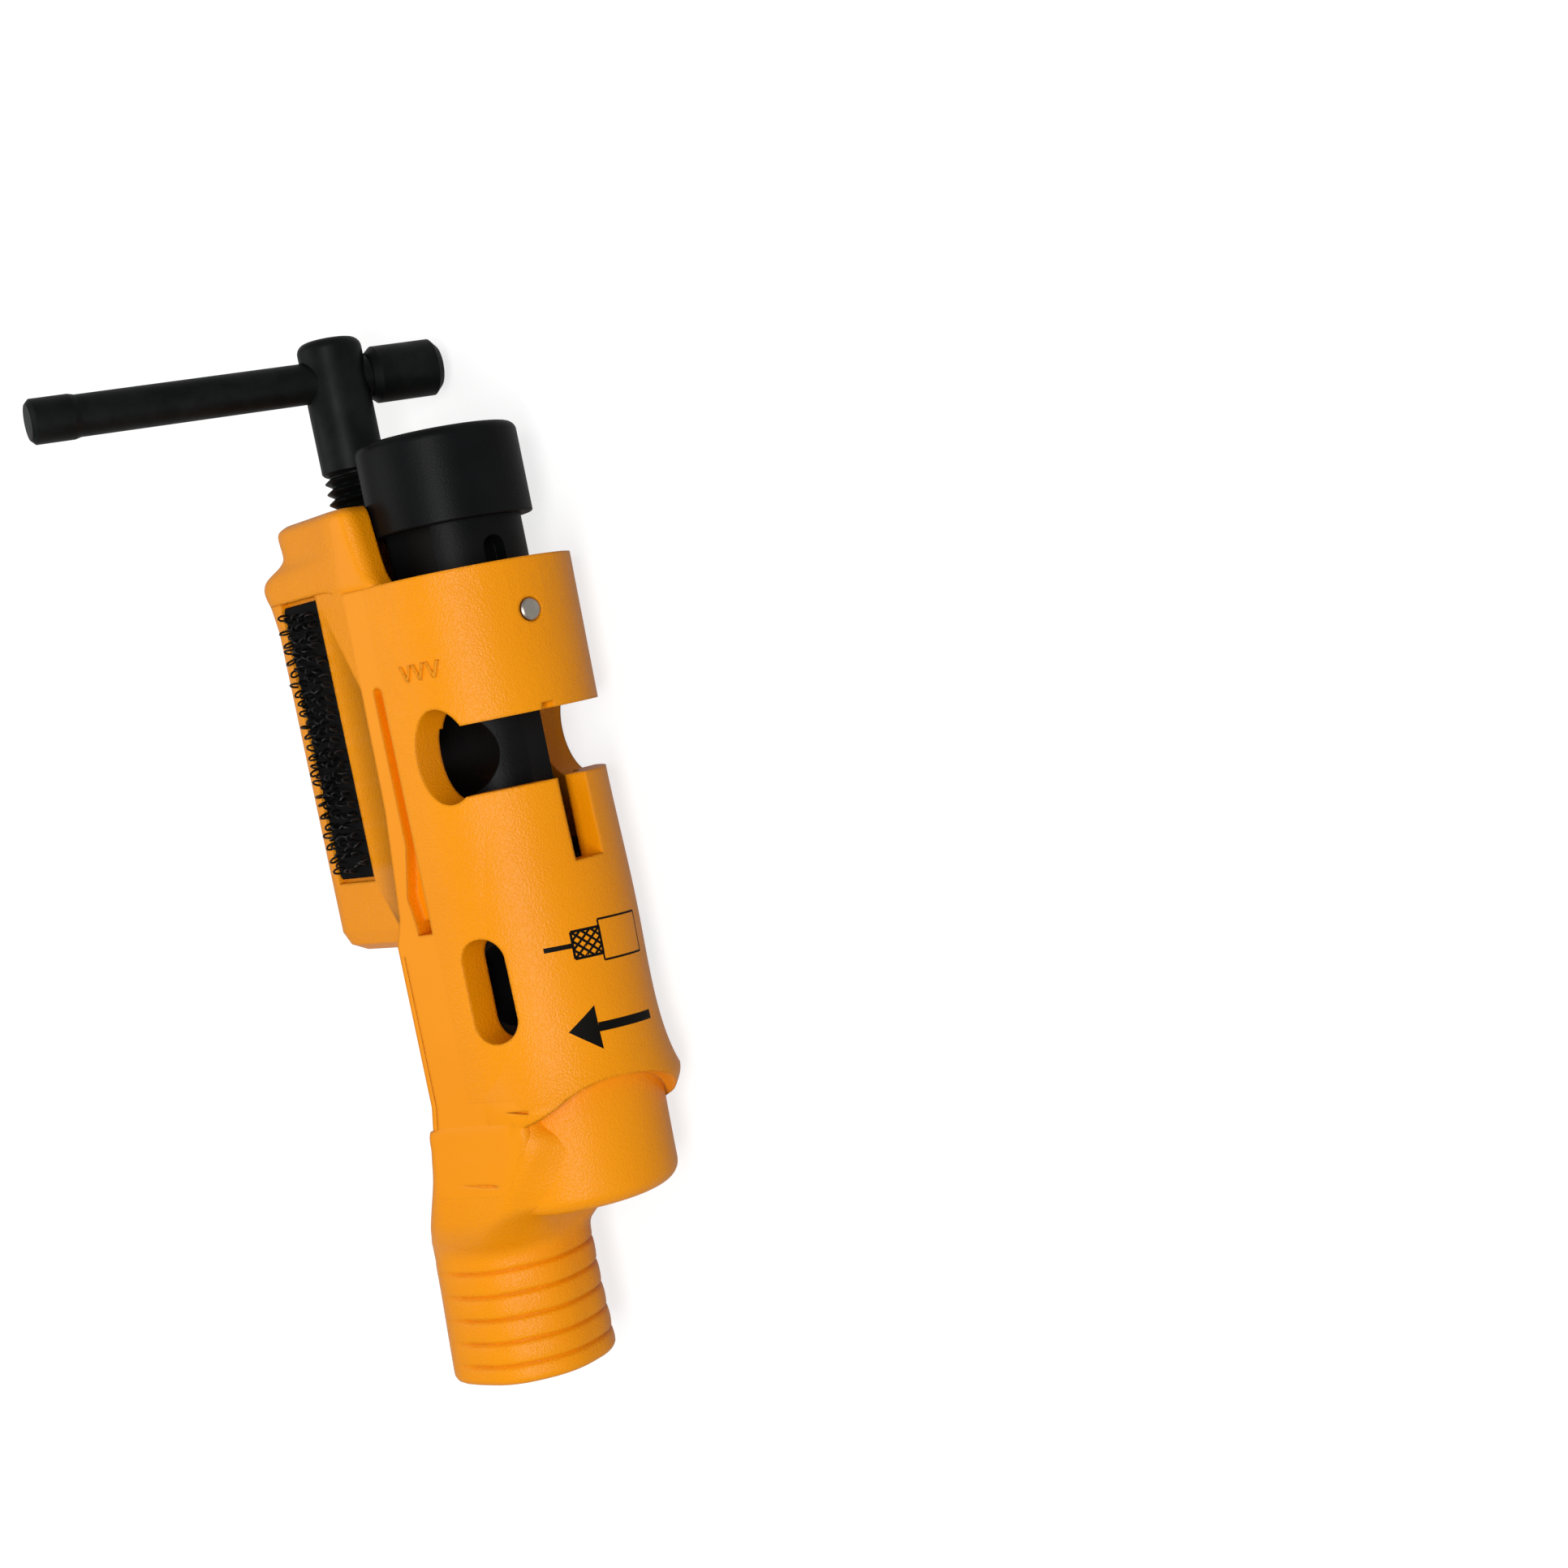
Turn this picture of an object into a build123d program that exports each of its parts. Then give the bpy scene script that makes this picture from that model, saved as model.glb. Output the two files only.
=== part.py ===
from build123d import *
import math
import os

# Coaxial cable stripper, in millimetres, lying on its flat back.
# X runs from the press screw's axis to the barrel's axis, Y along the tool to its
# push cap, Z up. Both axes lie in one plane, parallel to Y. The frame's origin lies
# midway between them on the back. All "x" values below count from the barrel's axis,
# all "z" values from the plane of the axes.

# Frame
barrel_x = 5.5            # barrel's axis in the shared frame
axis_height = 10.5        # the two axes above the surface that the tool lies on
screw_x = -11.0           # press screw, connector cavity and grip
flat_z = 10.2             # visible flat side of the body
back_z = -axis_height     # hidden flat side, on which the tool rests

# Barrel
collar_top = 39.4
collar_low = 25.5
collar_r = 10.2
collar_low_r = 10.05
barrel_top = 19.1
barrel_r = 9.5
flare_r = 10.72
skirt_low = -13.3
skirt_low_r = 8.4
skirt_roll = ((10.17, -11.65), (10.58, -10.8))  # how the flare's skirt rolls in to the cup: radius, height
waist_y = 5.0
waist_r = 9.75
flare_y = -10.0
collar_bore_play = 0.1    # running fit of the plunger's neck in the collar
rim_round = 0.5

# Brow over the cup: an arch across the barrel that bares the cup on the visible side: height, z
arch_y = -8.6
arch_steps = ((-12.8, 10.3), (-10.1, 8.8), (-9.1, 7.2), (arch_y, 4.9), (-8.8, 2.0), (-9.9, -2.0), (-12.9, -6.4))

# Cup that closes the barrel
cup_top_r = 8.85
cup_low_r = 8.65
cup_low = -20.5
cup_corner = 1.6
cup_floor = 2.2

# Cut-off window: an oval end with an open slot to the barrel's free side
window_x = 1.9
window_y = 23.0
window_half_width = 2.8
window_half_height = 4.4

# Stripping slot in the front wall and cable hole in the back wall
strip_x = 1.5
strip_y = 1.25
strip_slot_width = 4.3
strip_slot_length = 9.8
entry_r = 3.9

# Side slot beside the window, and the small notch over it
side_slot_low = 11.4
side_slot_z = 1.3
side_slot_width = 3.4
notch_z = 2.85
notch_width = 1.3
notch_depth = 0.6

# Web between barrel and box, and the flat sides' blend into the barrel
web_left = -8.2
web_low = -11.2
web_low_left = -8.65
web_right = 2.7
web_far = 6.0             # how far the plate runs into the barrel, and where it stops there
web_end = -7.2
web_step = 0.3            # how far the neck stands out of the web's left edge
panel_inset = 0.55        # fine moulded line beside the web's left edge
panel_width = 0.16
panel_depth = 0.1
sink_marks = ((0.85, 3.6, -9.9), (-6.6, -2.4, -16.5))  # fine creases in the flat: both x, height
sink_width = 0.3
blend_r = 9.25            # barrel radius that the flat sides run into
blend_from_x = -1.6
skirt_foot = -12.8        # where the arch meets the flat side

# Neck that carries the grip: it turns from the plate's section into the grip's
neck_stations = 11
neck_corner = 0.8
neck_end_left = 7.2       # reach from the grip's axis at the neck's low end
neck_end_right = 7.1
neck_end_half = 7.2
neck_end_corner = 5.6

# Press box
box_low = 6.0
box_left = -19.4
box_corner = 3.0
crest_x = -5.8
crest_round = 1.4
box_right = -2.5
right_round = 0.6
boss_right = -4.4
boss_drop = 2.6
flank_slope = 13.0
boss_top = 47.0
cavity_r = 5.2
cavity_low = 9.0
cavity_top = 31.2
cable_r = 3.6
channel_low = -9.0

# Groove beside the crest
groove_x = -3.98
groove_width = 1.05
groove_low = 8.4
groove_high = 30.3
groove_depth = 1.3
pocket_width = 1.8
pocket_low = 7.2

# Grip
grip_low = -37.3
grip_high = -24.6
grip_r = 7.3
grip_left = 7.6           # reach of the squarer side, away from the barrel
grip_left_round = 4.9
rib_count = 5
rib_pitch = 2.3
rib_proud = 0.42
rib_crease = 0.3          # half width of the crease between ribs
rib_round = 0.35
grip_end_round = 0.5
socket_flats = 11.1
socket_depth = 12.0

# Cutter plunger
travel = 4.4
neck_r = 6.4
foot_r = 6.8
foot_high = 11.0
foot_low = -9.5
plunger_top = 47.6
plunger_flat_x = -4.6     # flat side towards the press cavity
key_flat_x = 5.8          # flat side towards the side slot
slide_play = 0.15
relief_x = 0.3
relief_z = -0.1
relief_low = 12.8
relief_high = 27.0
cut_hole_x = 0.4
cut_hole_y = 22.8
hole_r = 3.9
neck_step_x = 2.4
neck_step_z = 5.2

# Push cap
cap_wall = 1.2            # how far the cap stands out of the plunger's neck, and its stub in
cap_height = 8.6
cap_round = 0.9
cap_seat = 1.5            # how deep the neck sits in the cap
cap_play = 0.25

# Guide pin in the collar
pin_r = 1.0
pin_y = 34.6
pin_angle = 16.0
pin_hole_play = 0.15
pin_counterbore = 0.5
pin_proud = 0.1
pin_reach = 1.5           # how far it stands into the plunger's slot
pin_slot_width = 2.3
pin_slot_spare = 3.0

# Blades
blade_thick = 0.5
blade_play = 0.1
blade_width = 5.0
blade_high = 11.6
blade_bevel = 0.9
blade_edge = 0.04         # half thickness left at the cutting edge
holder_low = 5.2
holder_high = 12.0
holder_left = -2.0
holder_half = 4.4
blade_places = {"jacket_blade": (-3.0, 4.2), "braid_blade": (0.2, 3.9), "conductor_blade": (3.2, 3.6)}
screw_head_r = 1.1
screw_head_high = 0.6
screw_r = 0.7
holder_screw_tip = -3.2
holder_screw_z = (-1.4, 1.7)
holder_screw_y = 10.6
cut_blade_low = 25.4
cut_blade_high = 33.0
cut_blade_left = -3.4
cut_blade_right = 4.4
cut_blade_z = 0.3
cut_screw_x = 0.6
cut_screw_y = 30.6

# Return spring
spring_wire = 0.8
spring_r = 3.7
spring_turns = 3.5
seat_thick = 0.6
spigot_r = 2.8
spigot_high = 2.4

# Press screw, its bar and what it drives
screw_major_r = 3.0
shank_r = 3.08
shank_low = 51.2
shank_top = 64.0
dome_high = 1.0
insert_low = 31.5
insert_high = 38.6
insert_r = 4.2
thread_play = 0.06
bar_y = 60.0
bar_r = 1.95
bar_play = 0.06
bar_angle = 118.0
bar_tip = 29.1
swage_start = 24.6
swage_r = 2.1
head_r = 2.72
head_start = 3.25
head_end = 10.35
head_round = 0.7
head_neck = 1.2
pad_low = 19.6
pad_thick = 4.6
pad_r = 5.0
pad_plate = 1.8
pad_cup_r = 3.6
tip_r = 1.9
tip_groove_r = 1.4
tip_groove = 0.7
tip_end = 1.9
ring_thick = 0.6
ring_r = 2.9

# Connector seat
seat_plate = 2.0
seat_pin_r = 0.8
seat_pin_length = 2.6
seat_pin_spread = 4.4

# Hook tape on the flank
tape_low = 13.1
tape_high = 39.5
tape_recess_low = 12.7
tape_recess_high = 39.9
tape_near_x = -10.4
tape_far_x = -16.6
tape_thick = 1.0
tape_recess = 0.7

os.makedirs("parts", exist_ok=True)
barrel_axis = Axis((barrel_x, 0, axis_height), (0, 1, 0))
screw_axis = Axis((barrel_x + screw_x, 0, axis_height), (0, 1, 0))


def level(z):
    # Plane parallel to the flat sides, seen from above
    return Plane(origin=(barrel_x, 0, axis_height + z))


def across(y):
    # Plane across the tool, with X to the right and Z up; extrude runs towards the grip
    return Plane(origin=(barrel_x, y, axis_height), x_dir=(1, 0, 0), z_dir=(0, -1, 0))


def beside(x):
    # Plane seen from the barrel's free side, with Y along and Z up
    return Plane(origin=(barrel_x + x, 0, axis_height), x_dir=(0, 1, 0), z_dir=(1, 0, 0))


def outward(x, y, angle):
    # Plane on an axis at x, that looks out at an angle over +X; its own X runs along Y
    turn = math.radians(angle)
    return Plane(origin=(barrel_x + x, y, axis_height), x_dir=(0, 1, 0), z_dir=(math.cos(turn), 0, math.sin(turn)))


def half_outline(points, centre_x=0.0):
    # Half section of a turned shape, from (radius, y) points
    with BuildSketch(level(0)) as half:
        with BuildLine():
            Polyline(*[(centre_x + radius, y) for radius, y in points], close=True)
        make_face()
    return half.sketch


def save(piece, name):
    piece.part.label = name
    export_step(piece.part, "parts/" + name + ".step")


cap_low = collar_top + travel
cap_top = cap_low + cap_height
cap_r = neck_r + cap_wall
cap_stub_r = neck_r - cap_wall
collar_bore = neck_r + collar_bore_play
barrel_bore = foot_r + slide_play
cup_inside = cup_low + cup_floor
slope = math.tan(math.radians(flank_slope))
strip_hole_y = strip_y


def box_section(y, grow, right_x, right_drop):
    # Section of the press box: sloped flank, left wall and back; grow moves flank and wall outwards
    back = back_z + max(0.0, -grow)
    top = flat_z + min(0.0, grow)
    left = box_left - grow
    corners = {
        (left, back): box_corner,
        (left, top - slope * (crest_x - left)): box_corner,
        (crest_x, top): crest_round,
        (right_x, top - right_drop): right_round,
    }
    with BuildSketch(across(y)) as section:
        with BuildLine():
            Polyline((right_x, back), *corners, close=True)
        make_face()
        for corner, radius in corners.items():
            fillet(section.vertices().sort_by_distance(corner)[0], radius=radius)
    return section.sketch


# Press box with its bulge and the boss round the screw
with BuildPart() as press_box:
    box_stations = [
        (boss_top, -2.3, boss_right, boss_drop),
        (boss_top - 0.8, -1.6, boss_right, boss_drop),
        (boss_top - 2.4, -1.5, boss_right, boss_drop),
        (43.6, -0.6, boss_right, boss_drop),
        (42.2, 0.6, boss_right, boss_drop),
        (40.6, 0.7, boss_right, boss_drop),
        (collar_top - 0.4, 0.35, box_right, 0.0),
        (37.4, 0.0, box_right, 0.0),
        (box_low + 2.0, 0.0, box_right, 0.0),
        (box_low + 0.7, -0.45, box_right, 0.0),
        (box_low, -1.5, box_right, 0.0),
    ]
    loft([box_section(*station) for station in box_stations], ruled=True)

# Web plate: its outline seen from above, within a section that runs tangent into the barrel


def blend_points(side_z):
    # Arc tangent to a flat side and to the barrel: its middle and its end on the barrel
    rise = abs(side_z)
    radius = (blend_from_x**2 + rise**2 - blend_r**2) / (2 * rise - 2 * blend_r)
    centre_z = rise - radius
    end_turn = math.atan2(-centre_z, -blend_from_x)
    middle_turn = (math.pi / 2 + end_turn) / 2
    sign = math.copysign(1, side_z)
    return [
        (blend_from_x + radius * math.cos(turn), sign * (centre_z + radius * math.sin(turn)))
        for turn in (middle_turn, end_turn)
    ]


with BuildPart() as web:
    with BuildSketch(level(back_z)):
        with BuildLine():
            Polyline(
                (crest_x, collar_top), (-6.15, barrel_top), (-7.2, cavity_low),
                (web_left, box_low + 0.5), (web_left, channel_low), (web_low_left, web_low), (web_right, skirt_foot), (web_right, web_end),
                (web_far, web_end), (web_far, collar_top), close=True,
            )
        make_face()
    extrude(amount=flat_z - back_z)
    top_middle, top_end = blend_points(flat_z)
    back_middle, back_end = blend_points(back_z)
    with BuildSketch(across(collar_top)):
        with BuildLine():
            Line((box_left, back_z), (blend_from_x, back_z))
            ThreePointArc((blend_from_x, back_z), back_middle, back_end)
            Line(back_end, top_end)
            ThreePointArc(top_end, top_middle, (blend_from_x, flat_z))
            Polyline((blend_from_x, flat_z), (box_left, flat_z), (box_left, back_z))
        make_face()
    extrude(amount=collar_top - cup_low, mode=Mode.INTERSECT)


def neck_section(share):
    # Section of the neck at a share of its way down from the web to the grip
    y = web_low + share * (grip_high - web_low)
    left = web_low_left - web_step + (screw_x - neck_end_left - web_low_left + web_step) * share**2.1
    turn = min(1.0, max(0.0, (share - 0.08) / 0.8))
    right = web_right + (screw_x + neck_end_right - web_right) * turn**2 * (3 - 2 * turn)
    top = flat_z + (neck_end_half - flat_z) * share**3
    back = back_z - (neck_end_half + back_z) * share**3
    corner = neck_corner + (neck_end_corner - neck_corner) * share**2.4
    with BuildSketch(across(y)) as section:
        with Locations(((left + right) / 2, (top + back) / 2)):
            RectangleRounded(right - left, top - back, corner)
    return section.sketch


with BuildPart() as neck:
    loft([neck_section(station / (neck_stations - 1)) for station in range(neck_stations)], ruled=True)

# Grip: round towards the barrel and squarer away from it, with rounded ribs


def grip_section(y, proud):
    reach = grip_r + proud
    left = grip_left + proud
    diagonal = grip_left_round * math.sqrt(0.5)
    corner_x = screw_x - left + grip_left_round
    corner_z = reach - grip_left_round
    with BuildSketch(across(y)) as section:
        with BuildLine():
            ThreePointArc((screw_x, -reach), (screw_x + reach, 0), (screw_x, reach))
            Line((screw_x, reach), (corner_x, reach))
            ThreePointArc((corner_x, reach), (corner_x - diagonal, corner_z + diagonal), (screw_x - left, corner_z))
            Line((screw_x - left, corner_z), (screw_x - left, -corner_z))
            ThreePointArc((screw_x - left, -corner_z), (corner_x - diagonal, -corner_z - diagonal), (corner_x, -reach))
            Line((corner_x, -reach), (screw_x, -reach))
        make_face()
    return section.sketch


with BuildPart() as grip:
    rib_stations = [(grip_high, 0.0)]
    for rib in reversed(range(rib_count)):
        crease = grip_low + rib_pitch * (rib + 1) - rib_crease
        rib_stations += [
            (crease, 0.0),
            (crease - rib_round, 0.8 * rib_proud),
            (crease - 2 * rib_round, rib_proud),
            (crease - rib_pitch + 2 * rib_crease + rib_round, rib_proud),
            (crease - rib_pitch + 2 * rib_crease, 0.6 * rib_proud),
        ]
    rib_stations += [(grip_low, -grip_end_round)]
    loft([grip_section(*station) for station in rib_stations], ruled=True)

# The one-piece moulded body
with BuildPart() as housing:
    with BuildSketch(level(0)) as barrel_half:
        with BuildLine():
            Polyline(
                (barrel_r, barrel_top), (collar_low_r, collar_low), (collar_r, collar_top),
                (0, collar_top), (0, skirt_low), (skirt_low_r, skirt_low),
            )
            Spline((skirt_low_r, skirt_low), *skirt_roll, (flare_r, flare_y), tangents=[(1.0, 0.35), (0.0, 1.0)])
            Spline(
                (flare_r, flare_y), (waist_r, waist_y), (barrel_r, barrel_top),
                tangents=[(-0.35, 1.0), (0.0, 1.0)],
            )
        make_face()
    revolve(axis=barrel_axis)
    # Brow's arch, open below, and the flat sides that trim the flare
    with BuildSketch(beside(-flare_r - 1)):
        with BuildLine():
            Spline(*arch_steps)
            Polyline(
                arch_steps[-1], (skirt_low - 1, arch_steps[-1][1]), (skirt_low - 1, flare_r + 1),
                (arch_steps[0][0], flare_r + 1), arch_steps[0],
            )
        make_face()
    extrude(amount=2 * flare_r + 2, mode=Mode.SUBTRACT)
    with BuildSketch(across(collar_top)):
        with Locations((0, (flat_z + back_z) / 2)):
            Rectangle(4 * flare_r, flat_z - back_z)
    extrude(amount=collar_top - skirt_low, mode=Mode.INTERSECT)
    # Cup
    with BuildSketch(level(0)) as cup_half:
        with BuildLine():
            Polyline((0, arch_y + 1), (cup_top_r, arch_y + 1), (cup_low_r, cup_low), (0, cup_low), close=True)
        make_face()
        fillet(cup_half.vertices().filter_by(lambda v: abs(v.X - cup_low_r) < 0.01), radius=cup_corner)
    revolve(axis=barrel_axis)
    add(press_box.part)
    add(web.part)
    add(neck.part)
    add(grip.part)
    # Room for the cap beside the boss
    with BuildSketch(across(boss_top + 1)):
        Circle(cap_r + cap_play)
    extrude(amount=boss_top + 1 - collar_top, mode=Mode.SUBTRACT)
    # Bore for the plunger, with a flat towards the press cavity
    with BuildSketch(across(collar_top + 1)) as bore:
        Circle(collar_bore)
        with Locations((plunger_flat_x - slide_play - collar_bore, 0)):
            Rectangle(2 * collar_bore, 4 * collar_bore, mode=Mode.SUBTRACT)
    extrude(amount=collar_top + 1 - collar_low, mode=Mode.SUBTRACT)
    with BuildSketch(across(collar_low)) as wide_bore:
        Circle(barrel_bore)
        with Locations((plunger_flat_x - slide_play - barrel_bore, 0)):
            Rectangle(2 * barrel_bore, 4 * barrel_bore, mode=Mode.SUBTRACT)
    extrude(amount=collar_low - cup_inside, mode=Mode.SUBTRACT)
    # Spigot that centres the return spring
    with BuildSketch(across(cup_inside + spigot_high)):
        Circle(spigot_r)
    extrude(amount=spigot_high + 0.5)
    # Cut-off window through both walls
    with BuildSketch(level(back_z - 1)):
        with Locations((window_x, window_y)):
            Ellipse(window_half_width, window_half_height)
        with Locations((window_x + flare_r, (barrel_top + collar_low) / 2)):
            Rectangle(2 * flare_r, collar_low - barrel_top)
    extrude(amount=flat_z - back_z + 2, mode=Mode.SUBTRACT)
    # Stripping slot in front, cable hole behind
    with BuildSketch(level(0)):
        with Locations((strip_x, strip_y)):
            SlotOverall(strip_slot_length, strip_slot_width, rotation=90)
    extrude(amount=flat_z + 1, mode=Mode.SUBTRACT)
    with BuildSketch(level(0)):
        with Locations((strip_x, strip_y)):
            Circle(entry_r)
    extrude(amount=back_z - 1, mode=Mode.SUBTRACT)
    # Side slot and notch
    with BuildSketch(beside(0)):
        with Locations(((side_slot_low + barrel_top + 1) / 2, side_slot_z)):
            Rectangle(barrel_top + 1 - side_slot_low, side_slot_width)
        with Locations((collar_low + notch_depth / 2, notch_z)):
            Rectangle(notch_depth, notch_width)
    extrude(amount=flare_r + 1, mode=Mode.SUBTRACT)
    # Guide pin's hole, across the barrel's axis
    with BuildSketch(outward(0, pin_y, pin_angle)):
        Circle(pin_r)
    extrude(amount=collar_r + 1, mode=Mode.SUBTRACT)
    with BuildSketch(outward(0, pin_y, pin_angle).offset(collar_r - pin_counterbore)):
        Circle(pin_r + pin_hole_play)
    extrude(amount=2 * pin_counterbore, mode=Mode.SUBTRACT)
    # Connector cavity and cable channel, open to the back
    with BuildSketch(across(cavity_top)):
        with Locations((screw_x, 0)):
            Circle(cavity_r)
        with Locations((screw_x, back_z / 2 - 0.5)):
            Rectangle(2 * cavity_r, -back_z + 1)
    extrude(amount=cavity_top - cavity_low, mode=Mode.SUBTRACT)
    with BuildSketch(across(cavity_low)):
        with Locations((screw_x, 0)):
            Circle(cable_r)
        with Locations((screw_x, back_z / 2 - 0.5)):
            Rectangle(2 * cable_r, -back_z + 1)
    extrude(amount=cavity_low - channel_low, mode=Mode.SUBTRACT)
    # Screw hole and the seat of its threaded insert
    with BuildSketch(across(boss_top + 1)):
        with Locations((screw_x, 0)):
            Circle(screw_major_r + 0.3)
    extrude(amount=boss_top + 1 - cavity_top + 1, mode=Mode.SUBTRACT)
    with BuildSketch(across(insert_high)):
        with Locations((screw_x, 0)):
            Circle(insert_r)
    extrude(amount=insert_high - cavity_top + 1, mode=Mode.SUBTRACT)
    # Hexagon socket in the grip's end
    with BuildSketch(across(grip_low + socket_depth)):
        with Locations((screw_x, 0)):
            RegularPolygon(socket_flats / 2, 6, major_radius=False)
    extrude(amount=socket_depth + 1, mode=Mode.SUBTRACT)
    # Groove beside the crest and the pocket at its low end
    with BuildSketch(level(flat_z)):
        with Locations((groove_x, (groove_low + groove_high) / 2)):
            SlotOverall(groove_high - groove_low, groove_width, rotation=90)
        with BuildLine():
            Polyline(
                (groove_x + groove_width / 2, 14.0), (groove_x - groove_width / 2, 15.5),
                (-5.7, 10.7), (-5.3, groove_low), (groove_x + groove_width / 2, groove_low), close=True,
            )
        make_face()
    extrude(amount=-groove_depth, mode=Mode.SUBTRACT)
    with BuildSketch(level(flat_z)):
        with Locations((groove_x + groove_width / 2 - pocket_width / 2, (pocket_low + groove_low) / 2)):
            Rectangle(pocket_width, groove_low - pocket_low)
    extrude(amount=-2 * groove_depth, mode=Mode.SUBTRACT)
    # Seat of the hook tape, sunk in the flank
    flank_plane = Plane(
        origin=(barrel_x + crest_x, 0, axis_height + flat_z),
        x_dir=(-math.cos(math.radians(flank_slope)), 0, -math.sin(math.radians(flank_slope))),
        z_dir=(-math.sin(math.radians(flank_slope)), 0, math.cos(math.radians(flank_slope))),
    )
    flank_scale = 1 / math.cos(math.radians(flank_slope))
    tape_near = (crest_x - tape_near_x) * flank_scale
    tape_far = (crest_x - tape_far_x) * flank_scale
    with BuildSketch(flank_plane):
        with Locations(((tape_near + tape_far) / 2, -(tape_recess_low + tape_recess_high) / 2)):
            Rectangle(tape_far - tape_near, tape_recess_high - tape_recess_low)
    extrude(amount=-tape_recess, mode=Mode.SUBTRACT)
    # Fine moulded line along the web's left edge, and two sink creases in the flat
    with BuildSketch(level(flat_z)):
        with BuildLine():
            Polyline(
                (web_left + panel_inset, box_low - 0.6), (web_left + panel_inset, channel_low),
                (web_low_left + panel_inset, web_low), (web_low_left + panel_inset + panel_width, web_low),
                (web_left + panel_inset + panel_width, channel_low),
                (web_left + panel_inset + panel_width, box_low - 0.6), close=True,
            )
        make_face()
    extrude(amount=-panel_depth, mode=Mode.SUBTRACT)
    for sink_start, sink_end, sink_y in sink_marks:
        with BuildSketch(level(flat_z)):
            with BuildLine():
                Polyline((sink_start, sink_y), (sink_end, sink_y - sink_width), (sink_end, sink_y), close=True)
            make_face()
        extrude(amount=-sink_width, mode=Mode.SUBTRACT)
save(housing, "housing")

# Hook tape
with BuildPart() as hook_tape:
    with BuildSketch(flank_plane.offset(-tape_recess)):
        with Locations(((tape_near + tape_far) / 2, -(tape_low + tape_high) / 2)):
            Rectangle(tape_far - tape_near - 0.2, tape_high - tape_low)
    extrude(amount=tape_thick)
save(hook_tape, "hook_tape")

# Cutter plunger
neck_top = cap_low + cap_seat
slot_top = pin_y + travel + pin_slot_spare
with BuildPart() as plunger:
    plunger_outline = [
        (0, foot_low), (foot_r - 0.4, foot_low), (foot_r, foot_low + 0.4), (foot_r, foot_high),
        (neck_r, foot_high + foot_r - neck_r), (neck_r, neck_top), (cap_stub_r, neck_top),
        (cap_stub_r, plunger_top), (0, plunger_top),
    ]
    revolve(half_outline(plunger_outline), axis=barrel_axis)
    # Flat towards the press cavity, below the cap
    with BuildSketch(across(cap_low - 0.2)):
        with Locations((plunger_flat_x - foot_r, 0)):
            Rectangle(2 * foot_r, 4 * foot_r)
    extrude(amount=cap_low - foot_low + 1, mode=Mode.SUBTRACT)
    # Flat towards the side slot, and the relief that lets cut pieces fall out
    with BuildSketch(across(relief_high)):
        with Locations((key_flat_x + foot_r, 0)):
            Rectangle(2 * foot_r, 4 * foot_r)
    extrude(amount=relief_high - foot_low + 1, mode=Mode.SUBTRACT)
    with BuildSketch(across(relief_high)):
        with Locations((relief_x + foot_r, relief_z - foot_r)):
            Rectangle(2 * foot_r, 2 * foot_r)
    extrude(amount=relief_high - relief_low, mode=Mode.SUBTRACT)
    # Step in the neck's visible side
    with BuildSketch(across(cap_low - 0.6)):
        with Locations((neck_step_x - foot_r, neck_step_z + foot_r)):
            Rectangle(2 * foot_r, 2 * foot_r)
    extrude(amount=cap_low - 0.6 - relief_high, mode=Mode.SUBTRACT)
    # Cable holes
    with BuildSketch(level(0)):
        with Locations((cut_hole_x, cut_hole_y), (strip_x, strip_hole_y)):
            Circle(hole_r)
    extrude(amount=foot_r + 1, both=True, mode=Mode.SUBTRACT)
    # Slot for the guide pin
    with BuildSketch(outward(0, 0, pin_angle)):
        with Locations(((pin_y - pin_slot_width / 2 + slot_top) / 2, 0)):
            SlotOverall(slot_top - pin_y + pin_slot_width / 2, pin_slot_width)
    pin_slot = extrude(amount=foot_r + 1, mode=Mode.PRIVATE)
    with BuildSketch(across(slot_top + 1)) as slot_floor:
        Circle(foot_r + 2)
        Circle(neck_r - pin_reach - 0.3, mode=Mode.SUBTRACT)
    slot_ring = extrude(slot_floor.sketch, amount=slot_top + 2 - pin_y + pin_slot_width, mode=Mode.PRIVATE)
    add(pin_slot & slot_ring, mode=Mode.SUBTRACT)
    # Pocket for the blade holder, open to the flat, with slits for the blades
    with BuildSketch(level(0)):
        with Locations(((holder_left + foot_r) / 2, (holder_low + holder_high) / 2)):
            Rectangle(foot_r - holder_left, holder_high - holder_low)
    extrude(amount=holder_half + blade_play, both=True, mode=Mode.SUBTRACT)
    for blade_z, blade_low in blade_places.values():
        with BuildSketch(level(blade_z)):
            with Locations((strip_x, (blade_low + holder_low) / 2)):
                Rectangle(blade_width + 2 * blade_play, holder_low - blade_low + 0.4)
        extrude(amount=blade_thick / 2 + blade_play, both=True, mode=Mode.SUBTRACT)
    with BuildSketch(beside(holder_screw_tip)):
        with Locations(*[(holder_screw_y, z) for z in holder_screw_z]):
            Circle(screw_r)
    extrude(amount=foot_r, mode=Mode.SUBTRACT)
    # Slot and screw hole for the cut-off blade
    with BuildSketch(level(cut_blade_z)):
        with Locations(((cut_blade_left + cut_blade_right) / 2, (cut_blade_low + cut_blade_high) / 2)):
            Rectangle(cut_blade_right - cut_blade_left + 2 * blade_play, cut_blade_high - cut_blade_low + 2 * blade_play)
    extrude(amount=blade_thick / 2 + blade_play, both=True, mode=Mode.SUBTRACT)
    with BuildSketch(level(neck_step_z)):
        with Locations((cut_screw_x, cut_screw_y)):
            Circle(screw_r)
    extrude(amount=-neck_step_z - neck_r / 2, mode=Mode.SUBTRACT)
    with BuildSketch(level(neck_step_z)):
        with Locations((cut_screw_x, cut_screw_y)):
            Circle(screw_head_r + blade_play)
    extrude(amount=-screw_head_high, mode=Mode.SUBTRACT)
save(plunger, "plunger")

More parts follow.
